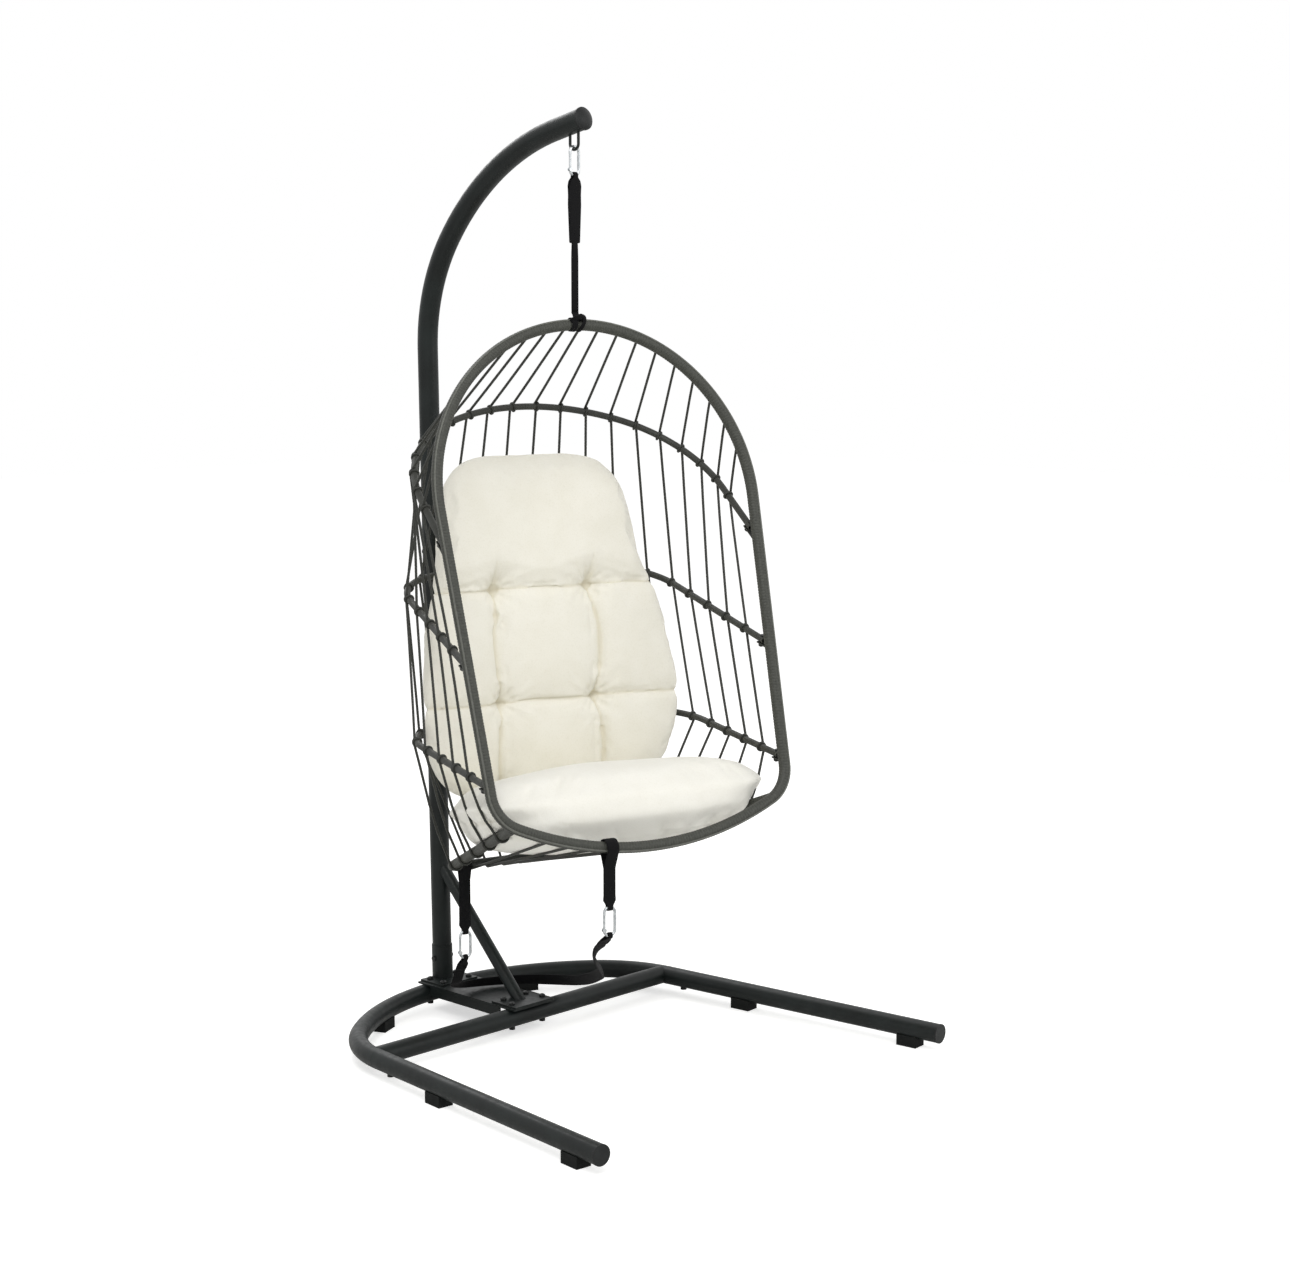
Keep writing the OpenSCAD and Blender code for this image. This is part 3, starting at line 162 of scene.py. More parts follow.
def through(points: Array, step: float, fine: int = 24) -> Array:
    """A smooth curve through the points, spaced evenly by step.

    Args:
        points: The points.
        step: The wanted spacing, in the points' own unit.
        fine: How many short stretches the curve has between two points before it is spaced.

    Returns:
        The curve's points.
    """
    ends = np.vstack([2 * points[0] - points[1], points, 2 * points[-1] - points[-2]])
    curve = []
    for a, b, c, d in zip(ends, ends[1:], ends[2:], ends[3:]):
        for t in np.linspace(0, 1, fine, endpoint=False):
            square, cube = 2 * a - 5 * b + 4 * c - d, 3 * b - a - 3 * c + d
            curve.append(0.5 * (2 * b + (c - a) * t + square * t**2 + cube * t**3))
    curve.append(points[-1])
    return even_path(np.array(curve), step)


def mesh_piece(name: str, verts: Array, faces: Sequence[Sequence[int]], uv: Optional[Array] = None) -> Object:
    """Makes a smooth mesh object at the origin, faces outwards.

    Args:
        name: The piece's name.
        verts: Its points in metres.
        faces: Its faces.
        uv: One pair of values for each face corner.

    Returns:
        The linked object.
    """
    mesh = bpy.data.meshes.new(name)
    mesh.from_pydata(np.asarray(verts, float).tolist(), [], [list(map(int, f)) for f in faces])
    if uv is not None:
        mesh.uv_layers.new(name="UVMap").data.foreach_set("uv", np.asarray(uv, np.float32).ravel())
    mesh.update()
    if volume(mesh) < 0:
        mesh.flip_normals()
    mesh.polygons.foreach_set("use_smooth", [True] * len(mesh.polygons))
    piece = bpy.data.objects.new(name, mesh)
    bpy.context.scene.collection.objects.link(piece)
    return piece


def volume(mesh: Mesh) -> float:
    """Signed volume of a closed mesh; it is negative when the faces point inwards."""
    mesh.calc_loop_triangles()
    points = read_points(mesh)
    corners = np.array([t.vertices[:] for t in mesh.loop_triangles], int)
    if len(corners) == 0:
        return 0.0
    a, b, c = (points[corners[:, i]] for i in range(3))
    return float(np.einsum("ij,ij->i", a, np.cross(b, c)).sum() / 6)


def read_points(mesh: Mesh) -> Array:
    """The mesh's points as rows."""
    flat = np.zeros(len(mesh.vertices) * 3, np.float32)
    mesh.vertices.foreach_get("co", flat)
    return flat.reshape(-1, 3).astype(float)


def read_normals(mesh: Mesh) -> Array:
    """The outward direction at each of the mesh's points."""
    flat = np.zeros(len(mesh.vertices) * 3, np.float32)
    mesh.vertices.foreach_get("normal", flat)
    return flat.reshape(-1, 3).astype(float)


def write_points(mesh: Mesh, points: Array) -> None:
    """Puts rows of points back into the mesh."""
    mesh.vertices.foreach_set("co", np.asarray(points, np.float32).ravel())
    mesh.update()


def baked(piece: Object) -> Object:
    """Turns a piece with live modifiers into a plain mesh."""
    graph = bpy.context.evaluated_depsgraph_get()
    mesh = bpy.data.meshes.new_from_object(piece.evaluated_get(graph), depsgraph=graph)
    piece.modifiers.clear()
    old = piece.data
    piece.data = mesh
    bpy.data.meshes.remove(old)
    mesh.name = piece.name
    return piece


def joined(name: str, parts: Sequence[Object]) -> Object:
    """Joins several mesh objects into one piece."""
    for o in bpy.context.selected_objects:
        o.select_set(False)
    for o in parts:
        o.select_set(True)
    bpy.context.view_layer.objects.active = parts[0]
    bpy.ops.object.join()
    parts[0].name = name
    parts[0].data.name = name
    return parts[0]


def place(piece: Object, body: str, slot: str, material: Material, *nodes: str) -> Object:
    """Gives a piece its finish, its body and the CAD nodes that it stands for.

    Args:
        piece: The piece.
        body: The CAD body that carries it.
        slot: The record's material slot; not used.
        material: Its finish.
        *nodes: The CAD nodes that it replaces.

    Returns:
        The same piece.
    """
    piece.data.materials.clear()
    piece.data.materials.append(material)
    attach(piece, body)
    if nodes:
        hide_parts(*nodes)
    log.info("%s: %d faces on %s", piece.name, len(piece.data.polygons), body)
    return piece


# Finishes -----------------------------------------------------------------------------------------


class Lay(Enum):
    """Where a pattern takes its coordinates from."""

    OBJECT = "Object"
    UV = "UV"


@dataclass(frozen=True)
class Finish:
    """A surface finish; each kind of it adds its own pattern to the same shader."""

    name: str
    colour: str
    roughness: float
    ior: float = 1.5
    metallic: float = 0.0

    def build(self) -> Material:
        """Makes the material with its colour, roughness and relief."""
        material = bpy.data.materials.new(self.name)
        material.use_nodes = True
        tree = material.node_tree
        tree.nodes.clear()
        shader = add_node(tree, "ShaderNodeBsdfPrincipled", {
            "Base Color": linear(self.colour), "Roughness": self.roughness, "Metallic": self.metallic, "IOR": self.ior,
        })
        add_node(tree, "ShaderNodeOutputMaterial", {"Surface": shader.outputs["BSDF"]})
        material.diffuse_color = linear(self.colour)
        self.pattern(tree, shader)
        return material

    def pattern(self, tree: NodeTree, shader: Node) -> None:
        """Adds what this finish shows beyond its plain colour."""

    def coordinates(self, tree: NodeTree, lay: Lay = Lay.OBJECT) -> NodeSocket:
        """The pattern's coordinates in millimetres: metres on the object are scaled up, a UV map has them already."""
        source = add_node(tree, "ShaderNodeTexCoord").outputs[lay.value]
        if lay is Lay.UV:
            return source
        return add_node(tree, "ShaderNodeVectorMath", {0: source, "Scale": 1 / MM}, operation="SCALE").outputs["Vector"]

    def noise(self, tree: NodeTree, where: NodeSocket, size: float,
              detail: float = 2.0) -> NodeSocket:
        """Noise whose lumps are about size millimetres."""
        inputs = {"Vector": where, "Scale": 1 / size, "Detail": detail}
        return add_node(tree, "ShaderNodeTexNoise", inputs).outputs["Fac"]

    def between(self, tree: NodeTree, value: NodeSocket, low: float, high: float,
                to_low: float, to_high: float) -> NodeSocket:
        """Maps a value from one range to another."""
        return add_node(tree, "ShaderNodeMapRange", {
            "Value": value, "From Min": low, "From Max": high, "To Min": to_low, "To Max": to_high,
        }).outputs["Result"]

    def tint(self, tree: NodeTree, factor: NodeSocket, one: Union[str, NodeSocket],
             other: str) -> NodeSocket:
        """Mixes a hex colour, or a colour socket, with another hex colour by a factor."""
        first = linear(one) if isinstance(one, str) else one
        return add_node(tree, "ShaderNodeMix", {0: factor, 6: first, 7: linear(other)}, data_type="RGBA").outputs[2]

    def paint(self, tree: NodeTree, shader: Node, colour: NodeSocket) -> None:
        """Links the shader's base colour."""
        tree.links.new(colour, shader.inputs["Base Color"])

    def relief(self, tree: NodeTree, shader: Node, height: NodeSocket, depth: float,
               below: Optional[NodeSocket] = None) -> NodeSocket:
        """Bumps the surface by a height of that many millimetres."""
        inputs: dict = {"Height": height, "Strength": 1.0, "Distance": depth * MM}
        if below is not None:
            inputs["Normal"] = below
        normal = add_node(tree, "ShaderNodeBump", inputs).outputs["Normal"]
        tree.links.new(normal, shader.inputs["Normal"])
        return normal


@dataclass(frozen=True)
class PowderCoat(Finish):
    """Sprayed and baked polyester on steel: satin, with a fine orange peel."""

    worn: str = "#2C3331"
    peel: float = 1.6
    peel_depth: float = 0.035
    cloud: float = 70.0
    handling: float = 14.0

    def pattern(self, tree: NodeTree, shader: Node) -> None:
        """Clouds the colour a little, and roughens it unevenly."""
        where = self.coordinates(tree)
        cloud = self.noise(tree, where, self.cloud, 3.0)
        peel = self.noise(tree, where, self.peel, 3.0)
        mixed = self.between(tree, cloud, 0.35, 0.7, 0.0, 0.7)
        self.paint(tree, shader, self.tint(tree, mixed, self.colour, self.worn))
        handled = self.noise(tree, where, self.handling)
        rough = self.between(tree, handled, 0.3, 0.7, self.roughness - 0.06, self.roughness + 0.08)
        tree.links.new(rough, shader.inputs["Roughness"])
        self.relief(tree, shader, peel, self.peel_depth)


@dataclass(frozen=True)
class MouldedPlastic(Finish):
    """Injection-moulded polymer: spark-eroded grain, dull, with faint flow clouds."""

    grain: float = 0.9
    pale: str = "#232626"

    def pattern(self, tree: NodeTree, shader: Node) -> None:
        """Adds the mould's grain and clouds."""
        where = self.coordinates(tree)
        cloud = self.between(tree, self.noise(tree, where, 18.0), 0.35, 0.75, 0.0, 0.6)
        self.paint(tree, shader, self.tint(tree, cloud, self.colour, self.pale))
        self.relief(tree, shader, self.noise(tree, where, self.grain, 4.0), 0.12)


@dataclass(frozen=True)
class ZincPlate(Finish):
    """Bright zinc on bent wire: a cool, slightly milky metal with die lines and dull patches."""

    dull: str = "#9EA3A6"

    def pattern(self, tree: NodeTree, shader: Node) -> None:
        """Adds dull patches and fine lines along the wire."""
        where = self.coordinates(tree)
        patch = self.between(tree, self.noise(tree, where, 9.0, 3.0), 0.42, 0.68, 0.0, 0.8)
        self.paint(tree, shader, self.tint(tree, patch, self.colour, self.dull))
        rough = self.between(tree, patch, 0.0, 1.0, self.roughness, self.roughness + 0.14)
        tree.links.new(rough, shader.inputs["Roughness"])
        stretched = add_node(tree, "ShaderNodeVectorMath", {0: where, 1: (1.0, 1.0, 0.12)}, operation="MULTIPLY")
        self.relief(tree, shader, self.noise(tree, stretched.outputs["Vector"], 0.5), 0.03)


@dataclass(frozen=True)
class Webbing(Finish):
    """Flat woven polypropylene: ribs across the strap, two close warp cords at each edge, a soft sheen."""

    rib: float = 2.2
    warp: float = 1.5
    light: str = "#222223"

    def pattern(self, tree: NodeTree, shader: Node) -> None:
        """Weaves ribs over warps. Real ribs are 1.2 mm apart and are drawn at about twice that, to show at all."""
        shader.inputs["Sheen Weight"].default_value = 0.03
        shader.inputs["Sheen Roughness"].default_value = 0.4
        where = self.coordinates(tree, Lay.UV)
        ribs, warps = (
            add_node(tree, "ShaderNodeTexWave", {"Vector": where, "Scale": wave_scale(period)},
                     bands_direction=axis).outputs["Fac"]
            for axis, period in (("X", self.rib), ("Y", self.warp))
        )
        woven = add_node(tree, "ShaderNodeMath", {0: ribs, 1: warps}, operation="MULTIPLY").outputs["Value"]
        fuzz = self.noise(tree, where, 0.6, 3.0)
        both = add_node(tree, "ShaderNodeMath", {0: woven, 1: fuzz, 2: 0.35}, operation="MULTIPLY_ADD")
        self.paint(tree, shader, self.tint(tree, woven, self.colour, self.light))
        self.relief(tree, shader, both.outputs["Value"], 0.35)


@dataclass(frozen=True)
class ResinStrand(Finish):
    """Flat polyethylene strand, wound turn by turn: matt, ribbed along its length, with painted shade between turns."""

    shade: str = "#2E2F2B"
    pale: str = "#56574F"

    def pattern(self, tree: NodeTree, shader: Node) -> None:
        """Paints shade into the grooves between turns and streaks the strand."""
        where = self.coordinates(tree)
        groove = add_node(tree, "ShaderNodeAttribute", attribute_name="groove").outputs["Fac"]
        streak = self.between(tree, self.noise(tree, where, 5.0, 4.0), 0.35, 0.7, 0.0, 0.8)
        body = self.tint(tree, streak, self.colour, self.pale)
        # Painted shade: the grooves between turns are darkened towards the shade colour.
        depth = self.between(tree, groove, 0.35, 1.0, 0.0, 0.85)
        self.paint(tree, shader, self.tint(tree, depth, body, self.shade))
        self.relief(tree, shader, self.noise(tree, where, 0.7, 4.0), 0.12)


@dataclass(frozen=True)
class Upholstery(Finish):
    """Plain-woven spun polyester over fibre stuffing: dull, soft at grazing light, with slubs and painted shade in its
    creases.
    """

    thread: float = 2.0
    slub: str = "#E6E2D2"
    # Colour of the painted shade in creases, seams and tufts.
    seam: str = "#CFC5A6"

    def pattern(self, tree: NodeTree, shader: Node) -> None:
        """Crosses three sets of threads. Real threads are 0.5 mm apart and are drawn four times as far, to show."""
        shader.inputs["Sheen Weight"].default_value = 0.25
        shader.inputs["Sheen Roughness"].default_value = 0.6
        where = self.coordinates(tree)
        sets = [
            add_node(tree, "ShaderNodeTexWave", {
                "Vector": where, "Scale": wave_scale(self.thread), "Distortion": 0.6, "Detail": 1.0,
                "Detail Scale": 0.4,
            }, bands_direction=axis).outputs["Fac"]
            for axis in ("X", "Y", "Z")
        ]
        pair = add_node(tree, "ShaderNodeMath", {0: sets[0], 1: sets[1]}, operation="ADD").outputs["Value"]
        woven = add_node(tree, "ShaderNodeMath", {0: pair, 1: sets[2]}, operation="ADD").outputs["Value"]
        slubs = self.noise(tree, where, 3.4, 4.0)
        cloud = self.between(tree, self.noise(tree, where, 60.0), 0.3, 0.7, 0.0, 0.35)
        fleck = self.between(tree, slubs, 0.5, 0.75, 0.0, 0.45)
        both = add_node(tree, "ShaderNodeMath", {0: cloud, 1: fleck}, operation="ADD").outputs["Value"]
        cloth = self.tint(tree, both, self.colour, self.slub)
        # Painted shade: where the crease values are high, the cloth turns towards the seam colour.
        crease = add_node(tree, "ShaderNodeAttribute", attribute_name="crease").outputs["Fac"]
        deep = self.between(tree, crease, 0.05, 1.0, 0.0, 0.45)
        self.paint(tree, shader, self.tint(tree, deep, cloth, self.seam))
        first = self.relief(tree, shader, woven, 0.06)
        self.relief(tree, shader, slubs, 0.25, first)


def wave_scale(period: float) -> float:
    """The wave texture's scale at which its bands are period millimetres apart: at 1 they are 2 pi / 20 apart."""
    return 2 * math.pi / 20 / period


# Black polyester powder: a soft satin line of light along each tube.
STEEL = PowderCoat("powder_coated_steel", "#121615", 0.40, ior=1.33, worn="#1E2423")
# Moulded polyethylene: duller than the tubes that it closes, and finely grained.
CAP = MouldedPlastic("moulded_black_plastic", "#101212", 0.46, ior=1.36)
# Moulded rubber: nearly no gloss, so that the feet sink into their own shadow.
RUBBER = MouldedPlastic("black_rubber_feet", "#0E100F", 0.78, ior=1.3, grain=1.4, pale="#191B1A")
# Blackened steel: the tightest highlight of the dark parts, so that domed nuts show as dots.
FASTENER = PowderCoat("blackened_bolts", "#0F1111", 0.36, ior=1.4, worn="#222424", peel=0.8, cloud=9.0)
# Electroplated zinc: the only bright metal, which mirrors the white room in thin streaks.
ZINC = ZincPlate("bright_zinc_wire", "#CDD0D2", 0.24, metallic=1.0)
# Polypropylene webbing: flat black, ribbed across, without a highlight.
STRAP = Webbing("woven_black_webbing", "#0B0B0C", 0.86, ior=1.24, light="#18181A")
# Bonded nylon thread: a touch lighter than the webbing, so that each stitch can be told.
THREAD = MouldedPlastic("black_sewing_thread", "#171718", 0.7, ior=1.3, grain=0.5, pale="#232325")
# Grey powder coat under the winding: seen only where the strand leaves the tube bare.
TUBE = PowderCoat("dark_basket_steel", "#262825", 0.46, ior=1.38, worn="#31332F")
# Extruded polyethylene strand: warm dark grey, its turns told apart by grooves with painted shade.
WRAP = ResinStrand("wound_resin_strand", "#3C3D38", 0.52, ior=1.38, shade="#1F201D", pale="#4B4C46")
# A thinner, paler strand: it draws a light line round the rim's outer front edge.
PIPING = ResinStrand("rim_piping", "#5E5F59", 0.46, ior=1.4, shade="#30312D", pale="#6E6F68")
# Resin coating on thin tube: even dark grey, a little duller than the stand.
HOOP = PowderCoat("resin_coated_hoops", "#32332F", 0.5, ior=1.38, worn="#3E3F3A", peel=1.2, cloud=24.0)
# Three strands laid up: matt, with painted shade where they meet.
CORD = ResinStrand("twisted_resin_cord", "#30312D", 0.52, ior=1.36, shade="#20211E", pale="#3C3D38")
# Spun polyester, plain woven: warm ivory without gloss, with painted shade that makes it yellower in its creases.
IVORY = Upholstery("ivory_woven_polyester", "#F1EEE2", 0.86)
# The same cloth, painted a shade whiter for the full light from above.
LIT_SEAT_IVORY = Upholstery("ivory_seat_polyester", "#F5F3EA", 0.86, slub="#EBE8DC")


class Palette:
    """Every finish, made once."""

    def __init__(self) -> None:
        """Builds each material."""
        all_of_them = (STEEL, CAP, RUBBER, FASTENER, ZINC, STRAP, THREAD, TUBE, WRAP, PIPING, HOOP, CORD, IVORY,
                       LIT_SEAT_IVORY)
        self.made = {finish.name: finish.build() for finish in all_of_them}

    def __getitem__(self, finish: Finish) -> Material:
        """The material of a finish."""
        return self.made[finish.name]

    def dress(self, finish: Finish, *nodes: str) -> None:
        """Puts a finish on CAD nodes that stay as they are."""
        for name in nodes:
            node = frame["nodes"][name]
            node.data.materials.clear()
            node.data.materials.append(self[finish])


# Geometry trees -----------------------------------------------------------------------------------


class Tree:
    """A geometry node tree with named inputs."""

    def __init__(self, name: str, inputs: dict[str, tuple[str, object]]) -> None:
        """Makes the tree's sockets.

        Args:
            name: The tree's name.
            inputs: The socket type and the default of each input.
        """
        self.tree = bpy.data.node_groups.new(name, "GeometryNodeTree")
        face = self.tree.interface
        face.new_socket("Geometry", in_out="INPUT", socket_type="NodeSocketGeometry")
        face.new_socket("Geometry", in_out="OUTPUT", socket_type="NodeSocketGeometry")
        self.ids: dict[str, str] = {}
        for label, (kind, default) in inputs.items():
            socket = face.new_socket(label, in_out="INPUT", socket_type=kind)
            if default is not None:
                socket.default_value = default
            self.ids[label] = socket.identifier
        self.source = add_node(self.tree, "NodeGroupInput")
        self.build()

    def build(self) -> None:
        """Fills the tree."""

    def node(self, kind: str, inputs: Optional[dict] = None, **settings: object) -> Node:
        """Adds a node to this tree."""
        return add_node(self.tree, kind, inputs, **settings)

    def math(self, how: str, *values: object) -> NodeSocket:
        """The result of a sum on sockets or numbers."""
        return self.node("ShaderNodeMath", dict(enumerate(values)), operation=how).outputs["Value"]

    def close(self, geometry: NodeSocket) -> None:
        """Ends the tree: realized, smooth, and with its material set."""
        real = self.node("GeometryNodeRealizeInstances", {"Geometry": geometry}).outputs["Geometry"]
        smooth = self.node("GeometryNodeSetShadeSmooth", {0: real}).outputs[0]
        done = self.node("GeometryNodeSetMaterial", {"Geometry": smooth, "Material": self.source.outputs["Material"]})
        self.node("NodeGroupOutput", {0: done.outputs["Geometry"]})

    def run(self, name: str, paths: Sequence[Array], closed: bool = False, **values: object) -> Object:
        """Bakes the tree on polylines.

        Args:
            name: The new piece's name.
            paths: The polylines, in metres.
            closed: Whether each polyline's end joins its start.
            **values: The tree's inputs, with an underscore for each space.

        Returns:
            The piece, as a plain mesh.
        """
        verts: list = []
        edges: list = []
        for path in paths:
            first = len(verts)
            verts += path.tolist()
            edges += [(first + i, first + i + 1) for i in range(len(path) - 1)]
            if closed:
                edges.append((first + len(path) - 1, first))
        mesh = bpy.data.meshes.new(name)
        mesh.from_pydata(verts, edges, [])
        piece = bpy.data.objects.new(name, mesh)
        bpy.context.scene.collection.objects.link(piece)
        modifier = piece.modifiers.new("nodes", "NODES")
        modifier.node_group = self.tree
        for label, value in values.items():
            modifier[self.ids[label.replace("_", " ")]] = value
        return baked(piece)


class WoundTube(Tree):
    """Strand wound round a path, or laid up into a cord: ribs that climb round a tube."""

    def __init__(self) -> None:
        """Names the tube's sizes."""
        super().__init__("wound_tube", {
            "Radius": ("NodeSocketFloat", 0.01), "Pitch": ("NodeSocketFloat", 0.006),
            "Starts": ("NodeSocketInt", 1), "Groove": ("NodeSocketFloat", 0.0006),
            "Edge": ("NodeSocketFloat", 4.0), "Step": ("NodeSocketFloat", 0.0012),
            "Sides": ("NodeSocketInt", 20), "Material": ("NodeSocketMaterial", None),
        })

    def build(self) -> None:
        """Sweeps a ring along the path and presses a groove where one turn meets the next."""
        size = self.source.outputs
        curve = self.node("GeometryNodeMeshToCurve", {"Mesh": size["Geometry"]}).outputs["Curve"]
        even = self.node("GeometryNodeResampleCurve", {"Curve": curve, "Length": size["Step"]}, mode="LENGTH")
        place_on = self.node("GeometryNodeSplineParameter")
        along = self.node("GeometryNodeCaptureAttribute", domain="POINT")
        along.capture_items.new("FLOAT", "along")
        self.tree.links.new(even.outputs["Curve"], along.inputs[0])
        self.tree.links.new(place_on.outputs["Length"], along.inputs[1])
        ring = self.node("GeometryNodeCurvePrimitiveCircle", {"Resolution": size["Sides"], "Radius": size["Radius"]})
        around = self.node("GeometryNodeCaptureAttribute", domain="POINT")
        around.capture_items.new("FLOAT", "around")
        self.tree.links.new(ring.outputs["Curve"], around.inputs[0])
        self.tree.links.new(place_on.outputs["Factor"], around.inputs[1])
        tube = self.node("GeometryNodeCurveToMesh", {
            "Curve": along.outputs[0], "Profile Curve": around.outputs[0], "Fill Caps": True,
        }).outputs["Mesh"]
        turns = self.math("DIVIDE", along.outputs[1], size["Pitch"])
        phase = self.math("MULTIPLY_ADD", around.outputs[1], size["Starts"], turns)
        share = self.math("FRACT", phase)
        apart = self.math("ABSOLUTE", self.math("MULTIPLY_ADD", share, 2.0, -1.0))
        groove = self.math("POWER", apart, size["Edge"])
        depth = self.math("MULTIPLY", self.math("MULTIPLY", groove, size["Groove"]), -1.0)
        normal = self.node("GeometryNodeInputNormal").outputs["Normal"]
        push = self.node("ShaderNodeVectorMath", {0: normal, "Scale": depth}, operation="SCALE").outputs["Vector"]
        noted = self.node("GeometryNodeStoreNamedAttribute", {"Geometry": tube, "Name": "groove", "Value": groove},
                          data_type="FLOAT", domain="POINT").outputs["Geometry"]
        moved = self.node("GeometryNodeSetPosition", {"Geometry": noted, "Offset": push}).outputs["Geometry"]
        self.close(moved)


class StitchLine(Tree):
    """Lock stitches: short rounded threads, end to end along a seam."""

    def __init__(self) -> None:
        """Names the stitch's sizes."""
        super().__init__("stitch_line", {
            "Pitch": ("NodeSocketFloat", 0.0034), "Length": ("NodeSocketFloat", 0.0026),
            "Thread": ("NodeSocketFloat", 0.00042), "Material": ("NodeSocketMaterial", None),
        })

    def build(self) -> None:
        """Puts one thread at each step, turned along the seam."""
        size = self.source.outputs
        curve = self.node("GeometryNodeMeshToCurve", {"Mesh": size["Geometry"]}).outputs["Curve"]
        even = self.node("GeometryNodeResampleCurve", {"Curve": curve, "Length": size["Pitch"]}, mode="LENGTH")
        points = self.node("GeometryNodeCurveToPoints", {"Curve": even.outputs["Curve"]}, mode="EVALUATED")
        ball = self.node("GeometryNodeMeshUVSphere", {"Segments": 6, "Rings": 4, "Radius": size["Thread"]})
        longer = self.math("DIVIDE", size["Length"], self.math("MULTIPLY", size["Thread"], 2.0))
        shape = self.node("ShaderNodeCombineXYZ", {"X": 1.0, "Y": 1.0, "Z": longer}).outputs["Vector"]
        turn = self.node("FunctionNodeAlignRotationToVector", {"Vector": points.outputs["Tangent"]}, axis="Z")
        laid = self.node("GeometryNodeInstanceOnPoints", {
            "Points": points.outputs["Points"], "Instance": ball.outputs["Mesh"], "Rotation": turn.outputs["Rotation"],
            "Scale": shape,
        })
        self.close(laid.outputs["Instances"])


# The basket's own frame ---------------------------------------------------------------------------


@dataclass
class BasketFrame:
    """Turns points of the basket, in millimetres, into the model's metres."""

    yaw: float = -16.5
    hook_y: float = 49.8

    def out(self, points: Sequence) -> Array:
        """Points of the basket in the model's frame, in metres."""
        p = np.asarray(points, float)
        x, y, z = p[..., 0], p[..., 1], p[..., 2]
        c, s = direction(self.yaw)
        return np.stack([x * c - y * s, self.hook_y + x * s + y * c, z], -1) * MM

    def way(self, vector: Sequence) -> Array:
        """A direction of the basket in the model's frame."""
        return unit(self.out(vector) - self.out((0, 0, 0)))


ROOM = BasketFrame()


@dataclass
class Rim:
    """The egg-shaped rim's line, in its own leaning plane, from its top point.

    Attributes:
        v: The top point's place behind the hook's line.
        lean: How far the plane leans to the front at its foot, in degrees.
        r: The arch's radius.
        taper: How far the straight sides close in, in degrees.
        length: The rim's length down its slope.
        corner_r: The lower corners' radius.
        bottom_r: The lower edge's radius.
        wrap_d: The diameter over the winding.
        chord: The longest step along an arc.
    """

    v: float = -3.3
    z: float = 1528.0
    lean: float = 17.2
    r: float = 360.0
    taper: float = 2.4
    length: float = 1074.0
    corner_r: float = 79.0
    bottom_r: float = 692.0
    wrap_d: float = 23.0
    chord: float = 6.0

    def __post_init__(self) -> None:
        """Works out where the straight sides, the corners and the lower edge meet."""
        t = math.radians(self.taper)
        self.side_p = self.r * np.array([math.cos(t), -1 - math.sin(t)])
        self.side_dir = np.array([-math.sin(t), -math.cos(t)])
        inward = np.array([-math.cos(t), math.sin(t)])
        self.bottom_c = np.array([0, self.bottom_r - self.length])
        w = self.side_p + self.corner_r * inward - self.bottom_c
        b = float(w @ self.side_dir)
        self.side_len = -b + math.sqrt(b * b - float(w @ w) + (self.bottom_r - self.corner_r) ** 2)
        self.corner_c = self.side_p + self.side_len * self.side_dir + self.corner_r * inward
        rel = self.corner_c - self.bottom_c
        self.corner_a = math.degrees(math.atan2(rel[1], rel[0]))

    def lift(self, p: Sequence) -> Array:
        """Points of the rim's plane in the basket's frame."""
        p = np.asarray(p, float)
        s, c = math.sin(math.radians(self.lean)), math.cos(math.radians(self.lean))
        return np.stack([p[..., 0], self.v + p[..., 1] * s, self.z + p[..., 1] * c], -1)

    @property
    def face(self) -> Array:
        """The direction that the rim's plane faces, to the front and a little up."""
        s, c = math.sin(math.radians(self.lean)), math.cos(math.radians(self.lean))
        return np.array([0, -c, s])

    def half(self, a: float) -> float:
        """Half width of the rim at a distance down its slope."""
        return float(self.side_p[0] - math.tan(math.radians(self.taper)) * (a + self.side_p[1]))

    def corner(self, a: float) -> Array:
        """A point of the right lower corner, a degrees below the level."""
        return self.corner_c + self.corner_r * direction(-a)

    def bottom(self, u: float) -> Array:
        """A point of the lower edge."""
        return np.array([u, self.bottom_c[1] - math.sqrt(self.bottom_r**2 - u * u)])

    def line(self) -> tuple[Array, Array]:
        """The closed line in the plane, arc by arc with straight sides between, and its outward normals."""
        top_c = np.array([0, -self.r])
        arcs = [
            (top_c, self.r, 90, 180 + self.taper),
            (self.corner_c * (-1, 1), self.corner_r, 180 + self.taper, 180 - self.corner_a),
            (self.bottom_c, self.bottom_r, -180 - self.corner_a, self.corner_a),
            (self.corner_c, self.corner_r, self.corner_a, -self.taper),
            (top_c, self.r, -self.taper, 90),
        ]
        points, normals = [], []
        for centre, radius, start, end in arcs:
            count = max(6, int(abs(end - start) / 360 * 2 * math.pi * radius / self.chord))
            angles = np.radians(np.linspace(start, end, count))
            out = np.stack([np.cos(angles), np.sin(angles)], 1)
            points.append(centre + radius * out)
            normals.append(out)
        return np.vstack(points)[:-1], np.vstack(normals)[:-1]


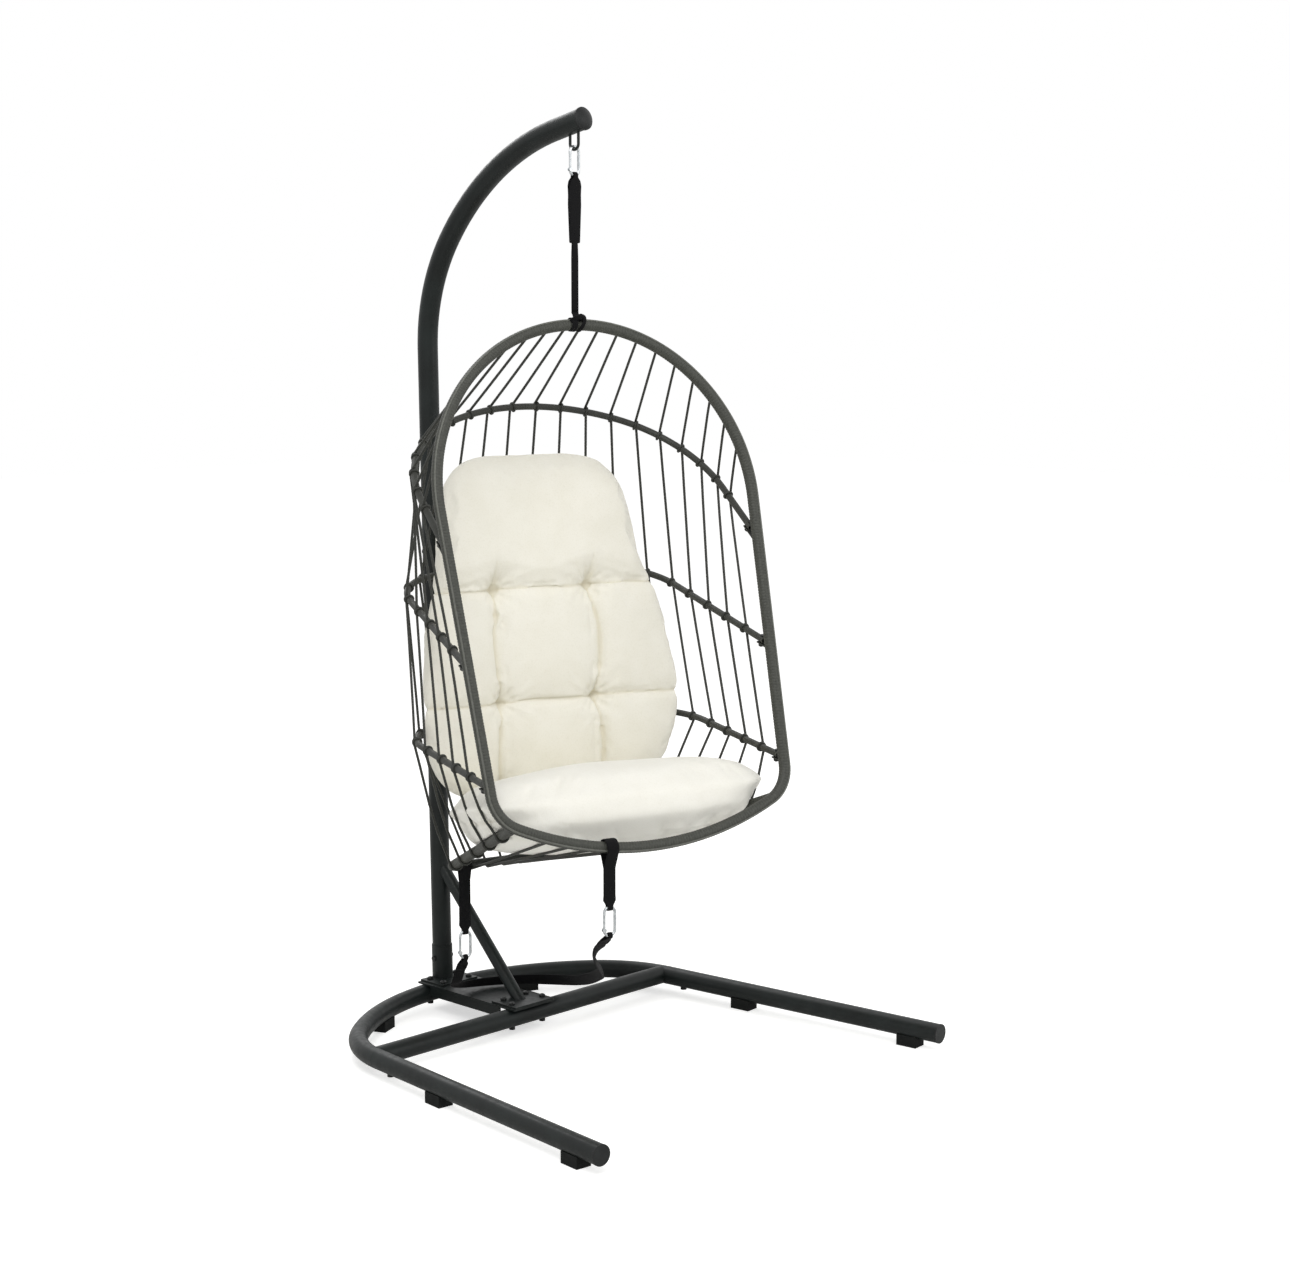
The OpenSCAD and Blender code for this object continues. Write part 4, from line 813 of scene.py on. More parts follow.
@dataclass
class Hoop:
    """One hoop: a side, a corner and a wide back, tangent to each other and the same on the left.

    Attributes:
        at: Its ends' distance down the rim's slope.
        tilt: How far its plane rises to the back, in degrees.
        side_a: How far its sides lean inwards, in degrees.
        depth: How far it reaches behind its ends.
        first: Where the frontmost cord crosses it, along the hoop.
        rim: The rim that it ends on.
    """

    at: float
    tilt: float
    side_a: float
    corner_r: float
    back_r: float
    depth: float
    first: float
    rim: Rim
    d: float = 14.0

    def __post_init__(self) -> None:
        """Works out the lengths of the side, the corner and the back."""
        t = math.radians(self.side_a)
        self.start = self.rim.lift((0, -self.at))
        self.side_dir = np.array([-math.sin(t), math.cos(t)])
        inward = np.array([-math.cos(t), -math.sin(t)])
        self.edge = np.array([self.rim.half(self.at), 0])
        self.c2 = np.array([0, self.depth - self.back_r])
        w = self.edge + self.corner_r * inward - self.c2
        b = float(w @ self.side_dir)
        self.side = -b + math.sqrt(b * b - float(w @ w) + (self.back_r - self.corner_r) ** 2)
        self.c1 = self.edge + self.side * self.side_dir + self.corner_r * inward
        rel = self.c1 - self.c2
        self.turn = math.degrees(math.atan2(rel[1], rel[0]))
        self.corner_len = math.radians(self.turn - self.side_a) * self.corner_r
        self.half_len = self.side + self.corner_len + math.radians(90 - self.turn) * self.back_r

    def at_length(self, s: float) -> tuple[Array, Array, Array, Array]:
        """The axis point s millimetres along the hoop, with its outward, forward and upward directions."""
        if s < self.side:
            a = self.side_a
            flat = self.edge + s * self.side_dir
        elif s < self.side + self.corner_len:
            a = self.side_a + math.degrees((s - self.side) / self.corner_r)
            flat = self.c1 + self.corner_r * direction(a)
        else:
            a = self.turn + math.degrees((s - self.side - self.corner_len) / self.back_r)
            flat = self.c2 + self.back_r * direction(a)
        ca, sa = direction(a)
        run, rise = direction(self.tilt)
        tilted: Callable[[Sequence], Array] = lambda q: np.array([q[0], q[1] * run, q[1] * rise])
        return self.start + tilted(flat), tilted((ca, sa)), tilted((-sa, ca)), np.array([0, -rise, run])


# Basket -------------------------------------------------------------------------------------------


@dataclass
class Basket:
    """Wound rim and side tubes, coated hoops, and the cords that are laced over them.

    Attributes:
        strand: The width of the strand that is wound round the tubes.
        piping_d: The diameter of the line along the rim's outer front edge.
        rear_p: The right side tube's rear end, in the basket's frame.
        front_a: Where on the rim's corner the side tube ends, in degrees.
        braid_d: The diameter that they are drawn with, a little thicker, so that they don't fade at this size.
        per_side: How many cords there are a side.
        side_first: The first cord that ends on a side tube; those before it go round the rear tube.
        side_foot: Where each of these ends on the side tube, 0 at its rear end and 1 at the rim.
        back_step: The distance between the other cords on the rear tube.
        spread: How much further apart they are at the rim's lower edge.
        arch: Where the first cord leaves the arch, the step to the next one and the step's growth, in degrees.
        turn: Where a cord's turn round a hoop starts and ends, in degrees.
        sunk: How far a cord presses into a hoop's coating.
        cord_step: The spacing of points along a cord.
    """

    palette: Palette
    tubes: WoundTube
    rim: Rim = field(default_factory=Rim)
    strand: float = 6.2
    piping_d: float = 4.5
    side_d: float = 22.0
    rear_d: float = 17.0
    rear_p: tuple[float, float, float] = (215.0, 160.0, 386.0)
    front_a: float = 60.0
    cord_d: float = 4.8
    braid_d: float = 5.8
    per_side: int = 10
    side_first: int = 5
    side_foot: tuple[float, ...] = (0.82, 0.62, 0.42, 0.22, 0.06)
    back_step: float = 38.0
    spread: float = 1.3
    arch: tuple[float, float, float] = (2.7, 6.5, 0.165)
    turn: tuple[float, float] = (55.0, -415.0)
    sunk: float = 0.7
    cord_step: float = 2.6

    def __post_init__(self) -> None:
        """Places the three hoops."""
        self.hoops = [
            Hoop(460, 35.4, 1.7, 289, 420, 457, 137, self.rim),
            Hoop(689, 15.1, 5.1, 153, 612, 523, 92, self.rim),
            Hoop(926, 5.3, 0.3, 143, 710, 494, 85, self.rim),
        ]
        self.front_p = self.rim.lift(self.rim.corner(self.front_a))

    def build(self) -> None:
        """Makes and dresses the whole basket."""
        self.palette.dress(HOOP, "hoop_upper", "hoop_middle", "hoop_lower")
        self.palette.dress(TUBE, "front_rim", "seat_rear_tube")
        self.palette.dress(FASTENER, "hoop_bolts")
        self.wind_rim()
        self.wind_sides()
        self.lace()

    def wind_rim(self) -> None:
        """Winds the strand round the rim, with the piping along its outer front edge."""
        flat, normals = self.rim.line()
        path = ROOM.out(self.rim.lift(flat))
        around = float(np.linalg.norm(np.diff(np.vstack([path, path[:1]]), axis=0), axis=1).sum())
        whole_pitch = around / round(around / MM / self.strand)
        winding = self.wound("rim_winding", path, True, self.rim.wrap_d, whole_pitch)
        place(winding, "basket", "resin_wrap", self.palette[WRAP], "rim_wrap")
        reach = self.rim.wrap_d / 2 * math.cos(math.radians(45))
        line = ROOM.out(self.rim.lift(flat + reach * normals) + reach * self.rim.face)
        piping = self.tubes.run(
            "rim_piping", [line], True, Radius=self.piping_d / 2 * MM, Pitch=3.1 * MM, Starts=2, Groove=0.5 * MM,
            Edge=2.0, Step=1.3 * MM, Sides=10, Material=self.palette[PIPING])
        place(piping, "basket", "resin_wrap", self.palette[PIPING])

    def wound(self, name: str, path: Array, closed: bool, wide: float, pitch: float) -> Object:
        """Strand wound round a tube.

        Args:
            name: The piece's name.
            path: The tube's axis, in metres.
            closed: Whether the axis ends where it starts.
            wide: The winding's outer diameter, in millimetres.
            pitch: The distance from turn to turn, in metres.

        Returns:
            The winding.
        """
        return self.tubes.run(name, [path], closed, Radius=wide / 2 * MM, Pitch=pitch, Groove=0.9 * MM, Edge=5.0,
                              Step=1.25 * MM, Sides=20, Material=self.palette[WRAP])

    def side_axis(self, t: float) -> Array:
        """A point on the right side tube's axis, 0 at its rear end and 1 at the rim."""
        return t * self.front_p + (1 - t) * np.array(self.rear_p)

    def wind_sides(self) -> None:
        """Winds the two side tubes of the seat, with a rounded rear end."""
        for name, sign in (("left", -1), ("right", 1)):
            path = np.array([self.side_axis(t) * (sign, 1, 1) for t in np.linspace(0, 0.985, 40)])
            tube = self.wound(f"side_winding_{name}", ROOM.out(path), False, self.side_d, self.strand * MM)
            cap = self.round_end(f"side_end_{name}", path[0], path[0] - path[1])
            place(joined(f"side_winding_{name}", [tube, cap]), "basket", "resin_wrap", self.palette[WRAP],
                  f"seat_side_{name}")

    def round_end(self, name: str, centre: Array, way: Array) -> Object:
        """The strand's closing turns over a tube's end."""
        way = unit(way)
        across = unit(np.cross(way, (0, 0, 1)))
        up = np.cross(way, across)
        rings, n, radius, ridge = 9, 20, self.side_d / 2, 0.04
        verts = []
        for i in range(rings):
            a = math.pi / 2 * i / rings
            r = radius * math.cos(a) * (1 - ridge * (i % 2))
            for j in range(n):
                t = 2 * math.pi * j / n
                verts.append(centre + r * (math.cos(t) * across + math.sin(t) * up) + radius * math.sin(a) * way)
        verts.append(centre + radius * way)
        faces: list = [(i * n + j, i * n + (j + 1) % n, (i + 1) * n + (j + 1) % n, (i + 1) * n + j)
                       for i in range(rings - 1) for j in range(n)]
        faces += [((rings - 1) * n + j, (rings - 1) * n + (j + 1) % n, rings * n) for j in range(n)]
        faces.append(tuple(range(n - 1, -1, -1)))
        return mesh_piece(name, ROOM.out(np.array(verts)), faces)

    def hoop_s(self, i: int, k: int) -> float:
        """How far along hoop i cord k crosses it."""
        hoop = self.hoops[i]
        return hoop.first + (self.per_side - 1 - k) * (hoop.half_len - hoop.first) / (self.per_side - 0.5)

    def rim_start(self, k: int) -> list[Array]:
        """Where cord k leaves the wrapping behind the rim's arch."""
        first, step, growth = self.arch
        a = math.radians(90 - (first + step * k + growth * k * k))
        axis = self.rim.lift((self.rim.r * math.cos(a), self.rim.r * math.sin(a) - self.rim.r))
        reach = (self.rim.wrap_d + self.cord_d) / 2
        return [axis - self.rim.face * reach * 0.5, axis - self.rim.face * reach]

    def lashing(self, i: int, k: int) -> list[Array]:
        """One turn of cord k round hoop i, moved along it by the cord's own width."""
        axis, out, along, up = self.hoops[i].at_length(self.hoop_s(i, k))
        r = (self.hoops[i].d + self.cord_d) / 2 - self.sunk
        start, end = self.turn
        lashed = []
        for a in np.linspace(start, end, 20):
            shift = (0.5 - (start - a) / (start - end)) * (self.cord_d + 0.4)
            ca, sa = direction(a)
            lashed.append(axis + r * (ca * out + sa * up) + shift * along)
        return lashed

    def cord_path(self, k: int) -> Array:
        """The whole way of cord k on the right side."""
        points = self.rim_start(k)
        for i in range(3):
            points += self.lashing(i, k)
        points += self.side_end(k) if k >= self.side_first else self.back_end(k)
        return even_path(smooth_path(np.array(points)), self.cord_step)

    def side_end(self, k: int) -> list[Array]:
        """Down to the side tube and half a turn under it."""
        foot = self.side_axis(self.side_foot[self.per_side - 1 - k])
        way = unit(self.side_axis(0) - self.side_axis(1))
        out = unit(np.array([1.0, 0, 0]) - way[0] * way)
        under = np.cross(out, way)
        under = under if under[2] < 0 else -under
        r = (self.side_d + self.cord_d) / 2 + 0.2
        axis, hoop_out, *_ = self.hoops[2].at_length(self.hoop_s(2, k))
        above = axis + hoop_out * (self.hoops[2].d + self.cord_d) / 2
        middle = above * 0.35 + (foot + r * out) * 0.65 + np.array([6, 4, 0])
        turn = [foot + r * (math.cos(a) * out + math.sin(a) * under) for a in np.radians(np.linspace(-15, 205, 10))]
        return [middle, *turn]

    def back_end(self, k: int) -> list[Array]:
        """Round the rear tube and forward under the seat to the rim's lower edge."""
        u = (k + 0.5) * self.back_step
        r = (self.rear_d + self.cord_d) / 2 + 0.3
        turn = [np.array([u, self.rear_p[1] + r * math.cos(a), self.rear_p[2] - r * math.sin(a)])
                for a in np.radians(np.linspace(-5, 95, 6))]
        flat = self.rim.bottom(u * self.spread)
        slope = math.atan2(self.front_p[2] - self.rear_p[2], self.rear_p[1] - self.front_p[1])
        reach = (self.rim.wrap_d + self.cord_d) / 2
        down = reach * np.array([0, math.cos(slope), -math.sin(slope)]) - np.array([0, 0, 4.0])
        return [*turn, self.rim.lift(flat) + down, self.rim.lift(flat) + down * 0.4]

    def lace(self) -> None:
        """Laces the cords of the two sides and of the back."""
        flip = np.array([-1, 1, 1])
        groups = {
            "cords_left": [self.cord_path(k) * flip for k in range(self.side_first, self.per_side)],
            "cords_right": [self.cord_path(k) for k in range(self.side_first, self.per_side)],
            "cords_back": [self.cord_path(k) * s for k in range(self.side_first) for s in (flip, 1)],
        }
        for node, paths in groups.items():
            laced = self.tubes.run(
                f"laced_{node}", [ROOM.out(p) for p in paths], Radius=self.braid_d / 2 * MM, Pitch=4.2 * MM, Starts=3,
                Groove=0.32 * MM, Edge=2.0, Step=self.cord_step * MM, Sides=8, Material=self.palette[CORD])
            place(laced, "basket", "resin_cord", self.palette[CORD], node)


# Webbing ------------------------------------------------------------------------------------------


@dataclass
class Ribbon:
    """Flat webbing swept along a path, with a map in millimetres for its weave."""

    thick: float = 2.4
    section: int = 20

    def sweep(self, name: str, path: Array, across: Array, width: Union[float, Array],
              closed: bool) -> Object:
        """Sweeps the webbing's section.

        Args:
            name: The object's name.
            path: The middle line, in metres.
            across: The wanted direction of the width, one for all points or one for each.
            width: The width in millimetres, one for all points or one for each.
            closed: Whether the path's end joins its start.

        Returns:
            The webbing as a mesh object.
        """
        n, m = len(path), self.section
        across = np.broadcast_to(across, (n, 3))
        width = np.broadcast_to(width, n)
        if closed:
            tangent = unit(np.roll(path, -1, 0) - np.roll(path, 1, 0))
        else:
            tangent = unit(np.gradient(path, axis=0))
        wide = unit(across - np.sum(across * tangent, 1, keepdims=True) * tangent)
        normal = np.cross(tangent, wide)
        t = 2 * np.pi * (np.arange(m) + 0.5) / m
        x = np.sign(np.cos(t)) * np.abs(np.cos(t)) ** 0.45
        y = np.sign(np.sin(t)) * np.abs(np.sin(t)) ** 0.6
        half = width[:, None] / 2 * MM
        verts = (path[:, None] + (half * x)[..., None] * wide[:, None]
                 + (self.thick / 2 * MM * y)[None, :, None] * normal[:, None]).reshape(-1, 3)
        steps = np.linalg.norm(np.diff(np.vstack([path, path[:1]]), axis=0), axis=1) / MM
        along = np.concatenate([[0], np.cumsum(steps)])
        travel = np.cumsum(np.abs(np.gradient(x))) * np.mean(width) / 2
        side = np.interp(np.arange(m + 1) / m, np.arange(m) / m, travel)
        faces, uv = [], []
        for i in range(n if closed else n - 1):
            here, ahead = i * m, (i + 1) % n * m
            for j in range(m):
                faces.append((here + j, ahead + j, ahead + (j + 1) % m, here + (j + 1) % m))
                uv += [(along[i + a], side[j + b]) for a, b in ((0, 0), (1, 0), (1, 1), (0, 1))]
        if not closed:
            for ring in (range(m - 1, -1, -1), range((n - 1) * m, n * m)):
                faces.append(tuple(ring))
                uv += [(0.0, 0.0)] * m
        return mesh_piece(name, verts, faces, np.array(uv))


def loop_path(top: tuple[float, float, float], low: tuple[float, float, float], gap: float) -> Array:
    """The closed line of a doubled strap, seen from its edge.

    Args:
        top: Height of the upper bend's middle, its radius, and how far below it the layers meet.
        low: The same for the lower bend, whose layers meet above it.
        gap: Half of the distance between the two layers.

    Returns:
        Points of the line, the sideways place first and the height second.
    """
    def half_loop(middle: float, radius: float, reach: float, sign: int) -> Array:
        """The bend and the two stretches that close on each other beyond it; a plain fold where nothing is held."""
        if radius <= gap:
            a = np.linspace(0, math.pi, 9)
            return np.stack([gap * np.cos(a), middle + sign * gap * np.sin(a)], 1)
        spread = math.acos(min(1.0, (radius - gap) / reach))
        tilt = math.pi / 2 - spread
        a = np.linspace(-tilt, math.pi + tilt, 25)
        bend = np.stack([radius * np.cos(a), middle + sign * radius * np.sin(a)], 1)
        ends = middle - sign * reach
        return np.vstack([[gap, ends], bend, [-gap, ends]])
    upper = half_loop(*top, 1)
    lower = half_loop(*low, -1)[::-1]
    closed = np.vstack([upper, lower, upper[:1]])
    keep = [0]
    for i in range(1, len(closed)):
        if np.linalg.norm(closed[i] - closed[keep[-1]]) > 0.2:
            keep.append(i)
    return even_path(closed[keep], 1.6)[:-1]


@dataclass
class Carabiner:
    """Sizes of the spring hooks, which are CAD nodes.

    Attributes:
        radius: The bends' outer radius.
        neck: How wide webbing is where it sits in a bend.
        rest: The gap that is left between webbing and wire.
    """

    length: float = 58.0
    wire: float = 6.0
    radius: float = 12.0
    neck: float = 11.0
    rest: float = 0.3

    @property
    def rise(self) -> float:
        """Height of a flat neck above the lowest point of the bend that it sits in."""
        r = self.radius - self.wire / 2
        return r * (1 - math.sqrt(1 - (self.neck / (2 * r)) ** 2))

    @property
    def gap(self) -> float:
        """Inner radius of a strap's loop round the wire."""
        return self.wire / 2 + self.rest + 0.4


@dataclass
class StrapWork:
    """What all straps share: flat webbing, thread, a hook's sizes and the rim's.

    Attributes:
        fold_gap: Half of the gap between a strap's two layers.
    """

    palette: Palette
    stitches: StitchLine
    ribbon: Ribbon = field(default_factory=Ribbon)
    hook: Carabiner = field(default_factory=Carabiner)
    rim: Rim = field(default_factory=Rim)
    fold_gap: float = 0.05

    def dress(self, strap: Object, body: str, node: str) -> None:
        """Gives a strap its weave, its body and its CAD node."""
        place(strap, body, "black_webbing", self.palette[STRAP], node)

    def sew(self, name: str, body: str, lines: Sequence[Array]) -> None:
        """Sews thread along lines, given in metres."""
        sewn = self.stitches.run(f"{name}_stitches", lines, Material=self.palette[THREAD])
        place(sewn, body, "black_webbing", self.palette[THREAD])


@dataclass
class HangingGear(StrapWork):
    """The eye's carabiner, the doubled strap in its sewn sleeve, and the hitch round the rim.

    Attributes:
        low_z: The height of the hook's lower bend.
        fold_z: The height of the sleeve's lower end.
        hitch_z: The height at which the strap gives way to the hitch.
        twist: The length over which the strap turns to face as the basket does.
        cross: The height of the stitched cross.
    """

    low_z: float = 1828.3
    fold_z: float = 1694.0
    hitch_z: float = 1556.0
    width: float = 35.0
    fold_w: float = 28.0
    tail: float = 15.0
    twist: float = 30.0
    cross: float = 22.0

    def build(self) -> None:
        """Makes the strap and its hitch, and dresses the hook."""
        self.palette.dress(ZINC, "top_carabiner", "top_gate", "top_gate_pin")
        self.strap()
        self.hitch()

    def hung(self, flat: Array) -> Array:
        """A strap's edge line, in metres, where it hangs across the hook's bend."""
        return np.stack([np.zeros(len(flat)), ROOM.hook_y + flat[:, 0], flat[:, 1]], 1) * MM

    def strap(self) -> None:
        """The sleeve that hangs in the hook, and the narrow doubled strap below it."""
        middle = self.low_z + self.hook.rise - 0.4
        t = self.ribbon.thick
        flat = loop_path((middle, self.hook.gap + t / 2, 40.0), (self.fold_z + t / 2, 0.0, 0.0), t / 2 + self.fold_gap)
        drops = [-2, 5, 12, 22, 60, 134]
        widths = [self.hook.neck, self.hook.neck + 1, 26, self.width - 2, self.width, self.fold_w]
        sleeve = self.ribbon.sweep("sleeve", self.hung(flat), np.array([1.0, 0, 0]),
                                   np.interp(middle - flat[:, 1], drops, widths), True)
        flat = loop_path((self.fold_z + 7, 0.0, 0.0), (self.hitch_z + 0.3 + t / 2, 0.0, 0.0), t / 2 + 0.03)
        path = self.hung(flat)
        turn = np.clip((self.fold_z - 2 - flat[:, 1]) / self.twist, 0, 1)[:, None]
        across = unit((1 - turn) * np.array([1.0, 0, 0]) + turn * ROOM.way((1, 0, 0)))
        off = path[:, 1:2] - ROOM.hook_y * MM
        path[:, :2] = (0, ROOM.hook_y * MM) + off * np.stack([-across[:, 1], across[:, 0]], 1)
        narrow = self.ribbon.sweep("narrow", path, across, self.tail, True)
        self.dress(joined("hanging_strap", [sleeve, narrow]), "strap", "hang_strap")
        self.sew("hanging_strap", "strap", self.seams(middle))

    def seams(self, middle: float) -> list[Array]:
        """The sleeve's stitching on both faces: two long seams, three bars across and a cross between the lower two."""
        t = self.ribbon.thick
        top, low, half = middle - 34, self.fold_z + 5, 0.38 * self.fold_w
        full: Callable[[float], float] = lambda z: float(
            np.interp(middle - z, [26, 60, 134], [self.width - 2, self.width, self.fold_w]))
        bars = [((-half, z), (half, z)) for z in (top, low, low + self.cross)]
        bars += [((-s * half, low), (s * half, low + self.cross)) for s in (-1, 1)]
        lines = []
        for y in (ROOM.hook_y + t + 0.25, ROOM.hook_y - t - 0.25):
            for side in (-0.4, 0.4):
                lines.append(np.array([(side * full(z), y, z) for z in np.linspace(top, low, 12)]) * MM)
            lines += [np.array([(x, y, z) for x, z in bar]) * MM for bar in bars]
        return lines

    def hitch(self) -> None:
        """A lark's head: two turns round the rim, a bar across them, and the strap's two layers above."""
        t = self.ribbon.thick
        r = self.rim.wrap_d / 2 + 0.5 + t / 2
        up = math.radians(90 - self.rim.lean)
        parts = []
        for x, lean, loose, wide in ((-8.6, 0.06, 0.0, 13.0), (9.5, 0.38, 3.6, 7.5)):
            a = np.linspace(0, 2 * math.pi, 49)[:-1]
            far = r + loose
            ring = np.stack([x + lean * r * np.sin(a), far * 1.03 * np.cos(a), far * np.sin(a) + loose], 1)
            ring[:, 2] += self.rim.z + 0.6
            ring[:, 1] += self.rim.v - 2.2 * bell(np.degrees(a) - 150, 35)
            parts.append(self.ribbon.sweep("turn", ROOM.out(ring), ROOM.way((1, 0, -lean)), wide, True))
        half_bow = [(15.5, -8, 6), (12.5, -12.5, 11), (6, -15.2, 14.4)]
        bow = [(-x, y, z) for x, y, z in half_bow] + [(0, -16, 15.5)] + half_bow[::-1]
        bow = through(np.array(bow, float) + (0, self.rim.v, self.rim.z), 1.6)
        parts.append(self.ribbon.sweep("bar", ROOM.out(bow), ROOM.way((0, -math.cos(up), 1)), 9.5, False))
        for s in (-1, 1):
            leg = np.array([
                (s * 7.0, s * 1.0 - 11.5, 8.5), (s * 5.0, s * 1.2 - 9.0, 15.0), (s * 1.6, s * 1.3 - 1.0, 20.5),
                (0, s * 1.3, 24.5), (0, s * 1.3, self.hitch_z - self.rim.z - 0.8),
            ], float)
            leg[:3, 1] += self.rim.v
            leg[:, 2] += self.rim.z
            leg = through(leg, 1.6)
            width = np.interp(leg[:, 2] - self.rim.z, [8, 16, 24], [12.0, 13.0, self.tail])
            parts.append(self.ribbon.sweep("leg", ROOM.out(leg), ROOM.way((1, 0, 0)), width, False))
        self.dress(joined("rim_hitch", parts), "basket", "strap_hitch")


@dataclass
class Tether(StrapWork):
    """Two drop straps with their hooks, and the slack webbing between them under the seat.

    Attributes:
        end_len: How far its sewn ends reach below a hook's axis.
        sits: How far above that axis their bend's middle is.
        front_u: The front strap's place along the rim's lower edge.
        rear_p: The rear strap's place on the rear tube's axis.
        front_len: From the rim's axis to the front strap's lower bend.
        rear_len: From the rear tube's axis to the rear strap's lower bend.
        front_lean: How far the front sewn end leans, in degrees.
        slack: Points of the slack webbing in the model's frame.
    """

    drop_w: float = 26.0
    web_w: float = 25.0
    web_t: float = 2.9
    end_len: float = 38.5
    sits: float = 0.4
    front_u: float = -96.0
    rear_p: tuple[float, float, float] = (-188.0, 160.0, 386.0)
    rear_d: float = 17.0
    front_len: float = 122.0
    rear_len: float = 148.0
    front_lean: float = 52.0
    rear_lean: float = 37.0
    slack: tuple[tuple[float, float, float], ...] = (
        (-115, 308, 114), (-97, 331, 100), (-72, 347, 90), (-42, 356, 83), (-10, 358, 79), (22, 350, 77),
        (52, 333, 77), (78, 308, 78), (97, 275, 81), (105, 238, 86), (104, 200, 93), (94, 158, 103),
        (76, 112, 117), (51, 62, 136), (20, 10, 159), (-17, -42, 184), (-62, -80, 208), (-106, -115, 235),
        (-141, -145, 261),
    )

    def build(self) -> None:
        """Makes the webbing, then the straps, and dresses the hooks."""
        front = self.rim.lift(self.rim.bottom(self.front_u))
        rear = np.array(self.rear_p)
        ends = [
            self.end_loop("front", self.low_point(front, self.front_len), self.front_lean),
            self.end_loop("rear", self.low_point(rear, self.rear_len), self.rear_lean),
        ]
        self.webbing(front, rear, ends)
        self.drop("front", front, (self.rim.wrap_d + 8.5) / 2, self.front_len)
        self.drop("rear", rear, self.rear_d / 2, self.rear_len)
        for name in ("front", "rear"):
            self.palette.dress(ZINC, f"{name}_carabiner", f"{name}_gate", f"{name}_gate_pin")

    def low_point(self, top: Array, length: float) -> Array:
        """The lowest axis point of a drop strap's hook, in the basket's frame."""
        hook = self.hook
        return top + (0, 0, -length - hook.gap + hook.wire / 2 + hook.rest + hook.rise - hook.length)

    def end_point(self, low: Array, lean: float, past: float) -> Array:
        """A point beyond the end of a sewn loop, in metres."""
        down, out = direction(lean)
        return ROOM.out(low + (self.end_len + self.hook.rest + past) * np.array([0, out, -down]))

    def end_loop(self, end: str, low: Array, lean: float) -> Object:
        """The webbing's end, turned round the hook's lower bend and sewn to itself.

        Args:
            end: Which end it is, as its names start.
            low: The lowest axis point of the hook.
            lean: How far the loop leans from straight down, in degrees.

        Returns:
            The loop, without its stitches.
        """
        t = self.ribbon.thick
        gap = self.hook.wire / 2 + self.hook.rest + 0.9
        flat = loop_path((self.sits, gap + t / 2, 23.0), (-self.end_len + t / 2, 0.0, 0.0), t / 2 + self.fold_gap)
        path = ROOM.out(np.stack([np.zeros(len(flat)), *turned(flat[:, 0], flat[:, 1], lean)], 1) + low)
        width = np.interp(-flat[:, 1], [0, 7, 22, 40], [9.0, 10.0, self.web_w, self.web_w])
        piece = self.ribbon.sweep(f"{end}_end_sewn", path, ROOM.way((1, 0, 0)), width, True)
        across = np.linspace(-9.5, 9.5, 8)
        rows = [turned(side * (t + 0.2), down, lean) for side in (1, -1) for down in (-26.0, -36.0)]
        self.dress(piece, "basket", f"{end}_end_loop")
        self.sew(f"{end}_end_sewn", "basket", [ROOM.out(np.array([(u, v, z) for u in across]) + low) for v, z in rows])
        return piece

    def webbing(self, front: Array, rear: Array, ends: Sequence[Object]) -> None:
        """The slack length: it leaves one sewn loop flat, runs on its edge past the brace, and comes up flat."""
        low_rear, low_front = self.low_point(rear, self.rear_len), self.low_point(front, self.front_len)
        route = np.vstack([
            [self.end_point(low_rear, self.rear_lean, past) for past in (0, 14)],
            np.array(self.slack) * MM,
            [self.end_point(low_front, self.front_lean, past) for past in (14, 0)],
        ])
        path = through(route, 5 * MM)
        share = np.linspace(0, 1, len(path))
        flat = ROOM.way((1, 0, 0))
        spots = [0, 0.03, 0.24, 0.5, 0.7, 0.9, 0.98, 1]
        on_edge = [(0, -0.5, 0.87), (-0.4, 0, 0.9), (-0.05, 0.35, 0.93), (0.19, 0.46, 0.87)]
        keys = np.array([flat, flat, *on_edge, flat, flat])
        across = unit(np.stack([np.interp(share, spots, keys[:, i]) for i in range(3)], 1))
        piece = Ribbon(thick=self.web_t).sweep("tether_strap", path, across, self.web_w, False)
        self.dress(piece, "basket", "tether_webbing")

    def drop(self, end: str, top: Array, tube_r: float, length: float) -> None:
        """A doubled strap that hangs from a tube and carries a hook, sewn with a boxed cross.

        Args:
            end: Which strap it is, as its names start.
            top: The axis point of the tube over it.
            tube_r: The radius of what it goes round.
            length: How far below the tube's axis its lower bend is.
        """
        t = self.ribbon.thick
        r = tube_r + self.hook.rest + t / 2
        flat = loop_path((0.0, r, tube_r + 26.3), (-length, self.hook.gap + t / 2, 26.0), t / 2 + self.fold_gap)
        path = ROOM.out(np.stack([np.zeros(len(flat)), flat[:, 0], flat[:, 1]], 1) + top)
        drops = [length - 15, length - 5, length + 9]
        width = np.interp(-flat[:, 1], drops, [self.drop_w, self.hook.neck + 2, self.hook.neck])
        strap = self.ribbon.sweep(f"{end}_drop", path, ROOM.way((1, 0, 0)), width, True)
        self.dress(strap, "basket", f"{end}_drop_strap")
        low, high, half = 27 - length, 47 - length, self.drop_w / 2 - 4
        box = [(-half, low), (half, low), (half, high), (-half, high), (-half, low), (half, high), (-half, high),
               (half, low)]
        sides = [(side * (t + 0.2), pair) for side in (1, -1) for pair in zip(box, box[1:])]
        self.sew(f"{end}_drop", "basket", [ROOM.out(np.array([(x, y, z) for x, z in pair]) + top) for y, pair in sides])


# Cushions -----------------------------------------------------------------------------------------


